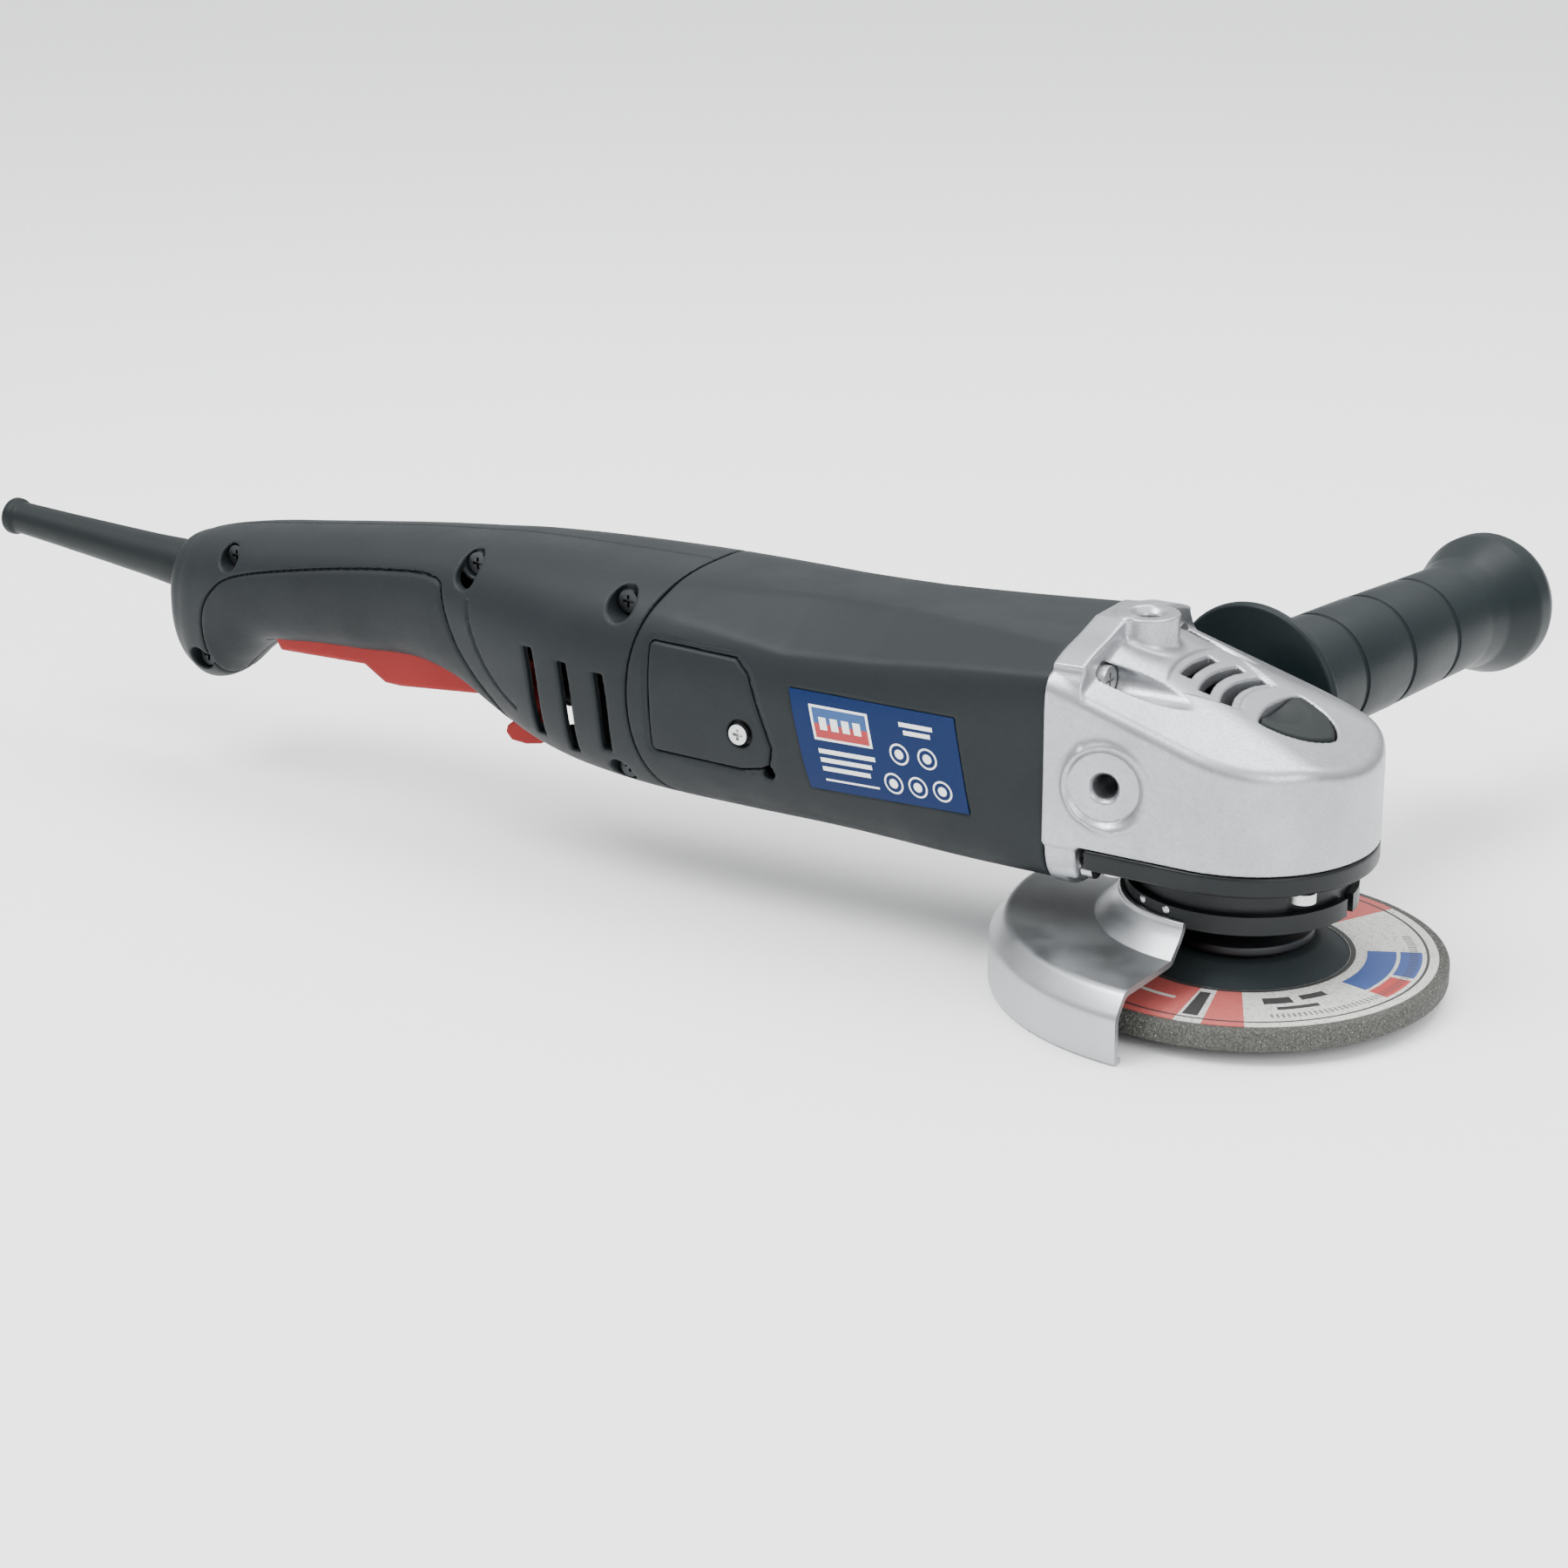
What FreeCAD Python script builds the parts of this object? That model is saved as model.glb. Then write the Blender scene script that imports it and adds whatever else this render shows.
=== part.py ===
"""Angle grinder with a rear paddle handle, modelled piece by piece in millimetres.

Frame: origin at the centre of the spindle's lower end, +X forward from the handle to
the gear head, +Y to the side where the auxiliary handle is fitted, +Z up the spindle.
"""
import FreeCAD, Part
import math
import os

V = FreeCAD.Vector

# ---- driving dimensions (mm) ----
MOTOR_Z = 58.0            # height of the motor axis above the spindle end
DISC_R = 57.5             # 115 mm grinding disc
DISC_T = 6.0
HUB_R = 27.0              # raised centre of the disc
HUB_RISE = 4.5
BUSHING_R = 11.0
SPINDLE_R = 7.0           # M14 spindle nose
SPINDLE_TOP = 71.5
NOSE_R = 37.0             # gear head, round end
HEAD_BACK = -33.0         # front face of the head's rear flange
HEAD_REAR = -43.0         # joint between head and motor housing
HEAD_BOTTOM = 41.0
HEAD_NOSE_TOP = 67.0
HEAD_SLOPE = 20.0         # degrees, top face rises to the rear
HEAD_WALL = 3.5
COVER_BOTTOM = 22.6
COVER_NECK_R = 29.5
COVER_FLANGE_Z = 35.0
BODY_WALL = 3.0
SEAM_X = -180.0           # rearmost point of the housing to handle seam
SEAM_R = 64.0
SEAM_Z = 60.0
HANDLE_HOLE_X = -25.5     # auxiliary handle holes, M8
HANDLE_HOLE_Z = 59.5
TOP_HOLE_X = -30.5         # the same thread, on top of the head
HANDLE_TILT = 10.0        # degrees forward
M8_CORE_R = 3.4
M8_R = 4.0
TOP_BOSS_Z = 98.5
GUARD_R = 69.5
GUARD_T = 1.8
GUARD_TOP = 15.8
GUARD_SKIRT = -4.0
GUARD_FROM = 87.0         # degrees, guard covers this to 267 about +Z
GUARD_SWEEP = 180.0
RING_TEETH = 36
PINION_TEETH = 12
FAN_R = 28.6
GEAR_OUT = 24.0            # outer radius of the ring gear; both gears share an apex on the axes
GEAR_BORE_SHARE = 0.67     # inner end of the teeth, as a share of the outer
GEAR_TIP = 0.85
GEAR_ROOT = 1.4
SHAFT_R = 5.0
CORE_R = 18.9
STATOR_R = 30.9
BRUSH_X = -151.0
PADDLE_PIVOT = (-331.0, 50.5)
LEVER_PIVOT = (-243.0, 41.5)
PADDLE_HALF = 9.0
SLOT_HALF = 9.7
RUN = 0.06                # radial running clearance
GAP = 0.3                 # clearance between moving pieces
FLANGE_FORM = (94.4, 25.4, 36.8)   # the head's rear flange: top, bottom, half width
TOP_BOSS_R = 8.5
FAN_BORE_X = -62.7        # rear end of the widened bore round the fan
FAN_BORE_LENGTH = 13.2
SHELL_SCREW_R = 1.8       # thread in the handle's posts
POST_R = 5.6              # screw posts inside the handle
DOOR_SCREW = (-140.5, 54.7)
COUNTERBORE_R = 4.6       # pocket for a head screw
STATOR_X = -122.0         # rear end of the laminations
STACK = 50.0              # length of the laminations
FACET_POINT = (4.2, 33.0, 73.8)       # where facet, roof and side of the head meet
FACET_NORMAL = (0.267, 0.323, 0.908)
VENT_ARCS = ((30.0, 24), (36.0, 19), (42.0, 12))   # radius and half angle of the slots in the roof
GEAR_SCREW_SPOTS = [(-27.0, 33.5), (27.0, 33.5), (-22.5, 85.0), (22.5, 85.0)]
COVER_SCREW_SPOTS = [(26.5, -20.0), (26.5, 20.0), (-25.5, -27.0), (-25.5, 27.0)]
BEARING_PLATE_R = 30.5
PIN_X = 12.2              # spindle lock pin and its holes in the ring gear
PIN_R = 2.2
PIN_LOW = 51.0
UPPER_BEARING_R = 6.0
UPPER_BOSS_R = 8.2
UPPER_BOSS_TOP = 69.0     # where the button passes over it
CAP_T = 3.6               # thickness of the lock button
LOWER_BEARING = (27.0, 38.0, 17.5, 7.5)   # z low, z high, outer r, bore r
BAND_R = 32.0
NAME_PLATE = [(-124.3, 71.0), (-71.2, 71.2), (-65.9, 44.3), (-117.3, 42.4)]
BRUSH_DOOR = [(-172.5, 76.8), (-143.0, 76.0), (-138.5, 72.0), (-130.3, 51.8), (-131.5, 45.5), (-141.0, 43.6),
              (-171.5, 44.2)]
GRIP_LINE = [(-356.5, 20.0), (-357.0, 50.0), (-354.0, 58.5), (-346.0, 66.0), (-330.0, 70.5), (-294.0, 77.0),
             (-257.0, 81.2), (-254.5, 73.0), (-249.6, 62.0), (-242.0, 52.0), (-233.0, 42.0), (-229.0, 20.0)]
HANDLE_SCREW_SPOTS = [(-345.0, 72.0), (-246.7, 84.5), (-186.0, 84.0), (-361.0, 36.0), (-187.0, 33.0)]
VENT_XS = (-216.0, -203.0, -190.5)
SCREW_DEPTH = 6.5         # of the screw seats below the handle's skin
SLEEVE_FROM = (-365.0, 60.1)
SLEEVE_TIP = (-455.0, 67.3)
CORD_R = 3.9
PADDLE_OUTLINE = [
    (-336.0, 54.5), (-336.0, 46.0), (-333.0, 41.0), (-299.0, 41.8), (-291.0, 37.0), (-285.0, 36.8),
    (-253.0, 39.6), (-244.5, 34.6), (-238.8, 36.0), (-238.2, 46.5), (-248.0, 50.0), (-285.0, 51.0),
    (-325.0, 50.0), (-327.0, 54.5),
]

# body sections: x, top z, bottom z, half width
SECTIONS = [
    (-43.0, 93.8, 26.0, 36.2),
    (-75.0, 93.3, 24.3, 36.3),
    (-110.0, 93.0, 23.6, 36.3),
    (-150.0, 93.0, 23.4, 36.3),
    (-175.0, 93.0, 23.7, 36.0),
    (-195.0, 92.9, 24.8, 35.2),
    (-212.0, 92.7, 26.8, 33.5),
    (-226.0, 92.4, 30.2, 31.0),
    (-240.0, 91.8, 36.0, 28.0),
    (-254.0, 90.6, 42.5, 25.0),
    (-270.0, 89.2, 46.8, 22.8),
    (-300.0, 85.7, 46.3, 21.3),
    (-325.0, 82.5, 44.6, 20.8),
    (-340.0, 80.6, 42.0, 20.6),
    (-350.0, 79.0, 34.5, 20.2),
    (-359.0, 77.2, 27.0, 19.3),
    (-367.0, 74.8, 27.0, 17.6),
    (-373.0, 71.8, 33.0, 14.5),
    (-376.5, 66.5, 42.0, 9.5),
]
PART_SPAN = {"housing": (-212.0, -43.0), "handle": (-376.5, -110.0)}   # each reaches past the seam
SECTION_POINTS = 28
BODY_POWER = 2.7          # superellipse exponent of the motor housing
GRIP_POWER = 2.3          # the same for the grip
HEAD_POWER = 5.2          # the same at the gear head


# ---- small helpers ----
def save(node, shape):
    """Write one node, refusing a shape that is empty or invalid."""
    solids = shape.Solids
    if not solids or not shape.isValid():
        raise ValueError(node + " is not a valid solid")
    out = solids[0] if len(solids) == 1 else Part.makeCompound(solids)
    out.exportStep("parts/" + node + ".step")
    print(node, len(solids), round(sum(s.Volume for s in solids)))


def cyl(r, length, at, axis=(0, 0, 1)):
    """Cylinder from a base point along an axis."""
    return Part.makeCylinder(r, length, V(*at), V(*axis))


def tube(r_out, r_in, length, at, axis=(0, 0, 1)):
    return cyl(r_out, length, at, axis).cut(cyl(r_in, length, at, axis))


def box(low, high):
    size = [high[i] - low[i] for i in range(3)]
    return Part.makeBox(size[0], size[1], size[2], V(*low))


def revolve_z(points):
    """Solid of revolution about Z from (r, z) points."""
    pts = [V(r, 0, z) for r, z in points]
    face = Part.Face(Part.makePolygon(pts + [pts[0]]))
    return face.revolve(V(0, 0, 0), V(0, 0, 1), 360)


def revolve_x(points):
    """Solid of revolution about the motor axis from (x, r) points."""
    pts = [V(x, 0, MOTOR_Z + r) for x, r in points]
    face = Part.Face(Part.makePolygon(pts + [pts[0]]))
    return face.revolve(V(0, 0, MOTOR_Z), V(1, 0, 0), 360)


def prism_xz(points, y_low, y_high):
    """Prism along Y from (x, z) points."""
    pts = [V(x, y_low, z) for x, z in points]
    face = Part.Face(Part.makePolygon(pts + [pts[0]]))
    return face.extrude(V(0, y_high - y_low, 0))


def fuse(shapes):
    out = shapes[0]
    for shape in shapes[1:]:
        out = out.fuse(shape)
    return out.removeSplitter()


def group(shapes):
    return Part.makeCompound([s for shape in shapes for s in shape.Solids])


def turned(shape, angle, centre=(0, 0, 0), axis=(0, 0, 1)):
    out = shape.copy()
    out.rotate(V(*centre), V(*axis), angle)
    return out


def mirrored(shape):
    return shape.mirror(V(0, 0, 0), V(0, 1, 0))


def wedge(r, start, sweep, z_low, z_high):
    """Sector of a cylinder about Z, angles in degrees."""
    base = Part.makeCylinder(r, z_high - z_low, V(0, 0, z_low), V(0, 0, 1), sweep)
    return turned(base, start)


# ---- body skin: one lofted form, inset for its inner layers ----
def power_at(x):
    """Section exponent: boxy at the gear head, softer over the motor, rounder at the grip."""
    t = min(1.0, max(0.0, (-180.0 - x) / 90.0))
    u = min(1.0, max(0.0, (x + 130.0) / 87.0))
    return BODY_POWER + (GRIP_POWER - BODY_POWER) * t + (HEAD_POWER - BODY_POWER) * u * u


def section_wire(x, top, bottom, half, inset):
    mid = (top + bottom) / 2
    rise = (top - bottom) / 2 - inset
    wide = half - inset
    power = 2 / power_at(x)
    pts = []
    for i in range(SECTION_POINTS):
        t = 2 * math.pi * (i + 0.5) / SECTION_POINTS
        c, s = math.cos(t), math.sin(t)
        y = math.copysign(abs(c) ** power, c) * wide
        z = math.copysign(abs(s) ** power, s) * rise
        pts.append(V(x, y, mid + z))
    curve = Part.BSplineCurve()
    curve.interpolate(pts, True)
    return Part.Wire([curve.toShape()])


def body_form(part, inset=0.0, front=0.0, rear=0.0):
    """Closed loft through the sections of the housing or the handle, its ends moved by front and rear."""
    low, high = PART_SPAN[part]
    rows = [list(row) for row in SECTIONS if low <= row[0] <= high]
    rows[0][0] += front
    rows[-1][0] += rear
    wires = [section_wire(x, t, b, h, inset) for x, t, b, h in rows]
    return Part.makeLoft(wires, True, False)


def seam_tool(grow=0.0):
    """Everything forward of the curved seam between housing and handle."""
    centre_x = SEAM_X + SEAM_R
    drum = cyl(SEAM_R + grow, 100, (centre_x, -50, SEAM_Z), (0, 1, 0))
    front = box((centre_x, -50, -20), (10, 50, 130))
    return drum.fuse(front)


# ---- gear head ----
def head_outline(inset, back):
    r = NOSE_R - inset
    half = 36.4 - inset
    a = Part.LineSegment(V(back, -half, 0), V(0, -r, 0))
    b = Part.Arc(V(0, -r, 0), V(r, 0, 0), V(0, r, 0))
    c = Part.LineSegment(V(0, r, 0), V(back, half, 0))
    d = Part.LineSegment(V(back, half, 0), V(back, -half, 0))
    return Part.Face(Part.Wire([e.toShape() for e in (a, b, c, d)]))


def under_slope(inset, back):
    """Prism holding all that lies below the sloping top, inset from it."""
    rise = math.tan(math.radians(HEAD_SLOPE))
    far = NOSE_R + 10
    z_front = HEAD_NOSE_TOP - 10 * rise - inset
    z_back = HEAD_NOSE_TOP + (NOSE_R - back) * rise - inset
    return prism_xz([(far, 0), (far, z_front), (back, z_back), (back, 0)], -50, 50)


def under_facet(side, inset):
    """Block holding all that lies under the head's upper side facet, inset from it."""
    tilt = V(FACET_NORMAL[0], side * FACET_NORMAL[1], FACET_NORMAL[2]).normalize()
    at = V(FACET_POINT[0], side * FACET_POINT[1], FACET_POINT[2]) - tilt * inset
    block = Part.makeBox(300, 300, 200, V(-150, -150, -200))
    block.Placement = FreeCAD.Placement(at, FreeCAD.Rotation(V(0, 0, 1), tilt))
    return block


def head_nose():
    prism = head_outline(0, HEAD_REAR + 2).extrude(V(0, 0, 70))
    prism.translate(V(0, 0, HEAD_BOTTOM))
    nose = prism.common(under_slope(0, HEAD_REAR + 2))
    return nose.common(under_facet(1, 0)).common(under_facet(-1, 0))


def handle_axis(side):
    """Unit vector out of a side handle hole, side +1 or -1."""
    a = math.radians(HANDLE_TILT)
    return (math.sin(a), side * math.cos(a), 0)


def on_handle(side, distance):
    """Point on a side handle axis, measured out from the head's side."""
    u = handle_axis(side)
    return (HANDLE_HOLE_X + u[0] * distance, side * 34.0 + u[1] * distance, HANDLE_HOLE_Z)


def vent_cutter(radius, half_angle):
    centre_x = 26.0
    ring = tube(radius + 1.5, radius - 1.5, 60, (centre_x, 0, 60))
    keep = wedge(90, 180 - half_angle, 2 * half_angle, 60, 120)
    keep.translate(V(centre_x, 0, 0))
    return ring.common(keep)


def button_prism(grow, z_low, z_high):
    """Rounded triangle of the spindle lock button."""
    g = grow
    rear, tip, half = 8.0 - g, 25.0 + g, 13.0 + g
    a = Part.Arc(V(rear + 1, half, z_low), V(rear - 1.5, 0, z_low), V(rear + 1, -half, z_low))
    b = Part.Arc(V(rear + 1, -half, z_low), V(20 + g, -8.6 - g, z_low), V(tip, 0, z_low))
    c = Part.Arc(V(tip, 0, z_low), V(20 + g, 8.6 + g, z_low), V(rear + 1, half, z_low))
    face = Part.Face(Part.Wire([e.toShape() for e in (a, b, c)]))
    prism = face.extrude(V(0, 0, z_high - z_low))
    upright = [e for e in prism.Edges if e.BoundBox.ZLength > 1]
    return prism.makeFillet(1.6 + g, upright)


def gear_case():
    flange = Part.Face(section_wire(HEAD_REAR, *FLANGE_FORM, 0))
    flange = flange.extrude(V(HEAD_BACK - HEAD_REAR, 0, 0))
    boss_top = cyl(TOP_BOSS_R, TOP_BOSS_Z - 80, (TOP_HOLE_X, 0, 80))
    sides = [cyl(9.5, 6, on_handle(s, -4), handle_axis(s)) for s in (1, -1)]
    outer = fuse([head_nose(), flange, boss_top] + sides)
    cavity = head_outline(HEAD_WALL, HEAD_REAR - 2).extrude(V(0, 0, 70))
    cavity.translate(V(0, 0, HEAD_BOTTOM - 5))
    cavity = cavity.common(under_slope(HEAD_WALL + 1, HEAD_REAR - 2))
    cavity = cavity.common(under_facet(1, HEAD_WALL)).common(under_facet(-1, HEAD_WALL))
    keep_back = box((HEAD_REAR - 3, -50, 0), (HEAD_BACK - 4, 50, 130))
    cavity = cavity.cut(keep_back)
    cavity = cavity.fuse(cyl(BEARING_PLATE_R, 30, (HEAD_REAR - 5, 0, MOTOR_Z), (1, 0, 0)))
    case = outer.cut(cavity)
    inner = [cyl(8.0, 15, on_handle(s, -14), handle_axis(s)) for s in (1, -1)]
    inner.append(cyl(7.0, 16, (TOP_HOLE_X, 0, 80)))
    inner.append(cyl(UPPER_BOSS_R, 17, (0, 0, 62.5)))
    inner.append(box((8.5, -4.9, 59.0), (34.5, 4.9, 62.6)))
    case = fuse([case] + [p.common(outer) for p in inner])
    for s in (1, -1):
        case = case.cut(cyl(M8_CORE_R, 20, on_handle(s, -15), handle_axis(s)))
        case = case.cut(cyl(9.0, 20, on_handle(s, 2.0), handle_axis(s)))
    case = case.cut(cyl(M8_CORE_R, 30, (TOP_HOLE_X, 0, 78)))
    case = case.cut(cyl(UPPER_BEARING_R, 9.0, (0, 0, 61.0)))
    case = case.cut(cyl(4.6, 3, (0, 0, 69.5)))
    case = case.cut(cyl(PIN_R + RUN, 40, (PIN_X, 0, 55)))
    for radius, half in VENT_ARCS:
        case = case.cut(vent_cutter(radius, half))
    case = case.cut(button_prism(GAP, UPPER_BOSS_TOP, 100))
    case = case.cut(button_prism(GAP, 63, 100).cut(cyl(UPPER_BOSS_R, 50, (0, 0, 55))))
    for y, z in GEAR_SCREW_SPOTS:
        case = case.cut(cyl(COUNTERBORE_R, 32, (HEAD_BACK - 1, y, z), (1, 0, 0)))
        case = case.cut(cyl(2.1, 12, (HEAD_REAR - 1, y, z), (1, 0, 0)))
    for x, y in COVER_SCREW_SPOTS:
        case = case.fuse(cyl(3.6, 12, (x, y, HEAD_BOTTOM)).common(outer))
        case = case.cut(cyl(1.9, 10, (x, y, HEAD_BOTTOM - 1)))
    return biggest(case)


def biggest(shape):
    return max(shape.Solids, key=lambda s: s.Volume)


def screw(head_r, head_h, shank_r, length, at, axis):
    """Pan head screw with a cross recess; the head stands on the given point."""
    a = V(*axis).normalize()
    head = Part.makeCylinder(head_r, head_h, V(*at), a)
    shank = Part.makeCylinder(shank_r, length + 0.01, V(*at) + a * 0.01, a * -1)
    body = head.fuse(shank)
    slot = Part.makeBox(head_r * 1.1, 0.9, 1.2, V(-head_r * 0.55, -0.45, head_h - 1.0))
    cross = slot.fuse(turned(slot, 90))
    turn = FreeCAD.Rotation(V(0, 0, 1), a)
    cross.Placement = FreeCAD.Placement(V(*at), turn)
    return body.cut(cross)


def gear_case_screws():
    out = []
    for y, z in GEAR_SCREW_SPOTS:
        out.append(screw(4.0, 3.2, 2.0, 22, (HEAD_BACK - 1, y, z), (1, 0, 0)))
    return out


# ---- bearing cover under the head ----
def bearing_cover():
    plate = head_outline(0, HEAD_BACK + 2.5).extrude(V(0, 0, HEAD_BOTTOM - COVER_FLANGE_Z))
    plate.translate(V(0, 0, COVER_FLANGE_Z))
    neck = cyl(COVER_NECK_R, COVER_FLANGE_Z - COVER_BOTTOM, (0, 0, COVER_BOTTOM))
    spigot = cyl(29.3, 2.5, (0, 0, HEAD_BOTTOM))
    body = fuse([plate, neck, spigot])
    z_low, z_high, r_out, r_in = LOWER_BEARING
    body = body.cut(cyl(r_out, 30, (0, 0, z_low)))
    body = body.cut(cyl(10.2, 30, (0, 0, COVER_BOTTOM - 1)))
    body = body.cut(cyl(27.3, 4, (0, 0, HEAD_BOTTOM - 0.5)))
    for x, y in COVER_SCREW_SPOTS:
        body = body.cut(cyl(4.2, 20, (x, y, COVER_FLANGE_Z - 18)))
        body = body.cut(cyl(2.0, 12, (x, y, COVER_FLANGE_Z)))
    return biggest(body)


def bearing_cover_screws():
    out = []
    for x, y in COVER_SCREW_SPOTS:
        out.append(screw(3.6, 2.8, 1.8, 13, (x, y, COVER_FLANGE_Z), (0, 0, -1)))
    return out


def dust_ring():
    return revolve_z([(10.4, 21.4), (28.6, 21.4), (28.6, 22.6), (10.4, 22.6)])


def ball_bearing(z_low, z_high, r_out, r_in, balls):
    """Two grooved races and a ring of balls about the Z axis."""
    mid_r, mid_z = (r_out + r_in) / 2, (z_low + z_high) / 2
    ball_r = (r_out - r_in) * 0.27
    groove = Part.makeTorus(mid_r, ball_r + 0.02, V(0, 0, mid_z), V(0, 0, 1))
    land = (r_out - r_in) * 0.33
    inner = tube(r_in + land, r_in, z_high - z_low, (0, 0, z_low)).cut(groove)
    outer = tube(r_out, r_out - land, z_high - z_low, (0, 0, z_low)).cut(groove)
    ring = [inner, outer]
    for i in range(balls):
        a = 2 * math.pi * i / balls
        ring.append(Part.makeSphere(ball_r, V(mid_r * math.cos(a), mid_r * math.sin(a), mid_z)))
    return ring


def lower_spindle_bearing():
    return group(ball_bearing(*LOWER_BEARING[:3], LOWER_BEARING[3] + RUN, 8))


def upper_spindle_bearing():
    """Drawn-cup needle bearing in the roof of the head."""
    cup = tube(UPPER_BEARING_R, 5.0, 7, (0, 0, 63))
    needles = []
    for i in range(12):
        a = 2 * math.pi * i / 12
        needles.append(cyl(0.42, 6, (4.5 * math.cos(a), 4.5 * math.sin(a), 63.5)))
    return group([cup] + needles)


# ---- spindle group ----
def spindle():
    body = revolve_z([
        (0, 0), (SPINDLE_R - 1, 0), (SPINDLE_R, 1), (SPINDLE_R, 16.5), (9.8, 16.5),
        (9.8, 26.6), (7.5, 26.6), (7.5, 42.0), (7.0, 42.0), (7.0, 52.0), (6.0, 52.0),
        (6.0, 61.0), (4.0, 61.0), (4.0, SPINDLE_TOP - 0.8), (3.2, SPINDLE_TOP), (0, SPINDLE_TOP),
    ])
    flats = [box((-12, s * 8.2 - (4 if s < 0 else 0), 18), (12, s * 8.2 + (4 if s > 0 else 0), 22))
             for s in (1, -1)]
    return body.cut(fuse(flats))


def tooth_corners(teeth, spots, shift, place):
    """Corners of faceted bevel teeth at their outer end, and the same drawn in to their inner end.

    spots lists (share of the tooth pitch, height above the pitch cone) and place turns an
    angle and a height into a point; every tooth edge runs to the gears' apex, the origin.
    """
    outer = []
    for i in range(teeth):
        for at, height in spots:
            outer.append(place(2.0 * math.pi * (i + at - shift) / teeth, height))
    return outer, [point * GEAR_BORE_SHARE for point in outer]


def on_ring(angle, height):
    return V(GEAR_OUT * math.cos(angle), GEAR_OUT * math.sin(angle), height - GEAR_OUT / 3.0)


def on_pinion(angle, height):
    r = GEAR_OUT / 3.0 + height
    return V(-GEAR_OUT, r * math.sin(angle), -r * math.cos(angle))


def flat(corners):
    return Part.Face(Part.makePolygon(corners + [corners[0]]))


def closed_solid(faces):
    shell = Part.makeShell(faces)
    shell.sewShape()
    solid = Part.makeSolid(shell)
    if solid.Volume < 0:
        solid.reverse()
    return solid


def ring_gear():
    """36 straight bevel teeth facing up, on a web with four lock holes."""
    spots = [(0.0, -GEAR_ROOT), (0.36, -GEAR_ROOT), (0.53, GEAR_TIP), (0.83, GEAR_TIP)]
    outer, inner = tooth_corners(RING_TEETH, spots, 0.68, on_ring)
    floor = -14.0
    faces = []
    for i in range(len(outer)):
        j = (i + 1) % len(outer)
        faces.append(flat([inner[i], outer[i], outer[j], inner[j]]))
        for loop in (outer, inner):
            a, b = loop[i], loop[j]
            faces.append(flat([a, V(a.x, a.y, floor), V(b.x, b.y, floor), b]))
    rims = [flat([V(p.x, p.y, floor) for p in loop]) for loop in (outer, inner)]
    faces += rims[0].cut(rims[1]).Faces
    teeth = closed_solid(faces)
    teeth.translate(V(0, 0, MOTOR_Z))
    rim = GEAR_OUT - 1.4
    web = revolve_z([(7.0, 43.0), (rim, 43.0), (rim, 45.0), (17.0, 49.0), (7.0, 49.0)])
    holes = []
    for i in range(4):
        a = math.radians(90 * i)
        holes.append(cyl(PIN_R + 0.5, 20, (PIN_X * math.cos(a), PIN_X * math.sin(a), 40)))
    return biggest(teeth.fuse([web]).cut(holes))


def pinion():
    """12 bevel teeth on a cone, in mesh under the motor axis; a tooth gap points down."""
    spots = [(0.0, -GEAR_ROOT), (0.42, -GEAR_ROOT), (0.56, GEAR_TIP), (0.86, GEAR_TIP)]
    outer, inner = tooth_corners(PINION_TEETH, spots, 0.21, on_pinion)
    faces = [flat(outer), flat(inner)]
    for i in range(len(outer)):
        j = (i + 1) % len(outer)
        faces.append(flat([inner[i], outer[i], outer[j], inner[j]]))
    gear = closed_solid(faces)
    gear.translate(V(0, 0, MOTOR_Z))
    hub = cyl(6.2, 4.0, (-GEAR_OUT - 3.0, 0, MOTOR_Z), (1, 0, 0))
    return biggest(gear.fuse([hub]).cut([cyl(4.0, 14, (-28.0, 0, MOTOR_Z), (1, 0, 0))]))


def inner_flange():
    return revolve_z([(7.0, 10.5), (19.0, 10.5), (20.5, 12.0), (20.5, 14.2), (14.0, 16.4), (7.0, 16.4)])


def grinding_disc():
    """Depressed-centre disc; its hub stands up by HUB_RISE."""
    top = DISC_T + HUB_RISE
    return revolve_z([
        (BUSHING_R, HUB_RISE), (HUB_R - 3.0, HUB_RISE), (HUB_R + 5.0, 0), (DISC_R, 0),
        (DISC_R, DISC_T), (HUB_R + 3.0, DISC_T), (HUB_R - 5.0, top), (BUSHING_R, top),
    ])


def disc_label():
    """Paper washer on the upper face, outside the raised centre."""
    z = DISC_T
    return revolve_z([(HUB_R + 3.2, z), (54.5, z), (54.5, z + 0.3), (HUB_R + 3.2, z + 0.3)])


def disc_bushing():
    top = DISC_T + HUB_RISE
    return revolve_z([(SPINDLE_R, HUB_RISE), (BUSHING_R, HUB_RISE), (BUSHING_R, top), (SPINDLE_R, top)])


def lock_nut():
    ring = revolve_z([(SPINDLE_R, 0.6), (16.0, 0.6), (17.5, 1.6), (17.5, HUB_RISE), (SPINDLE_R, HUB_RISE)])
    for i in range(4):
        a = math.radians(45 + 90 * i)
        ring = ring.cut(cyl(2.2, 3, (13.0 * math.cos(a), 13.0 * math.sin(a), -0.5)))
    return ring


# ---- guard ----
def guard():
    t = GUARD_T
    shell = revolve_z([
        (BAND_R, 24.6), (BAND_R, 22.6), (33.6, 20.0), (38.9, 14.2), (42.0, GUARD_TOP - t),
        (GUARD_R - 5.5, GUARD_TOP - t), (GUARD_R - t, GUARD_TOP - 7.0), (GUARD_R - t, GUARD_SKIRT + t),
        (GUARD_R - 3.4, GUARD_SKIRT + t), (GUARD_R - 3.4, GUARD_SKIRT), (GUARD_R, GUARD_SKIRT),
        (GUARD_R, GUARD_TOP - 6.2), (GUARD_R - 4.8, GUARD_TOP), (41.0, GUARD_TOP), (40.2, GUARD_TOP),
        (35.4, 20.6), (33.8, 23.0), (33.6, 24.6),
    ])
    return shell.common(wedge(90, GUARD_FROM, GUARD_SWEEP, -20, 60))


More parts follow.
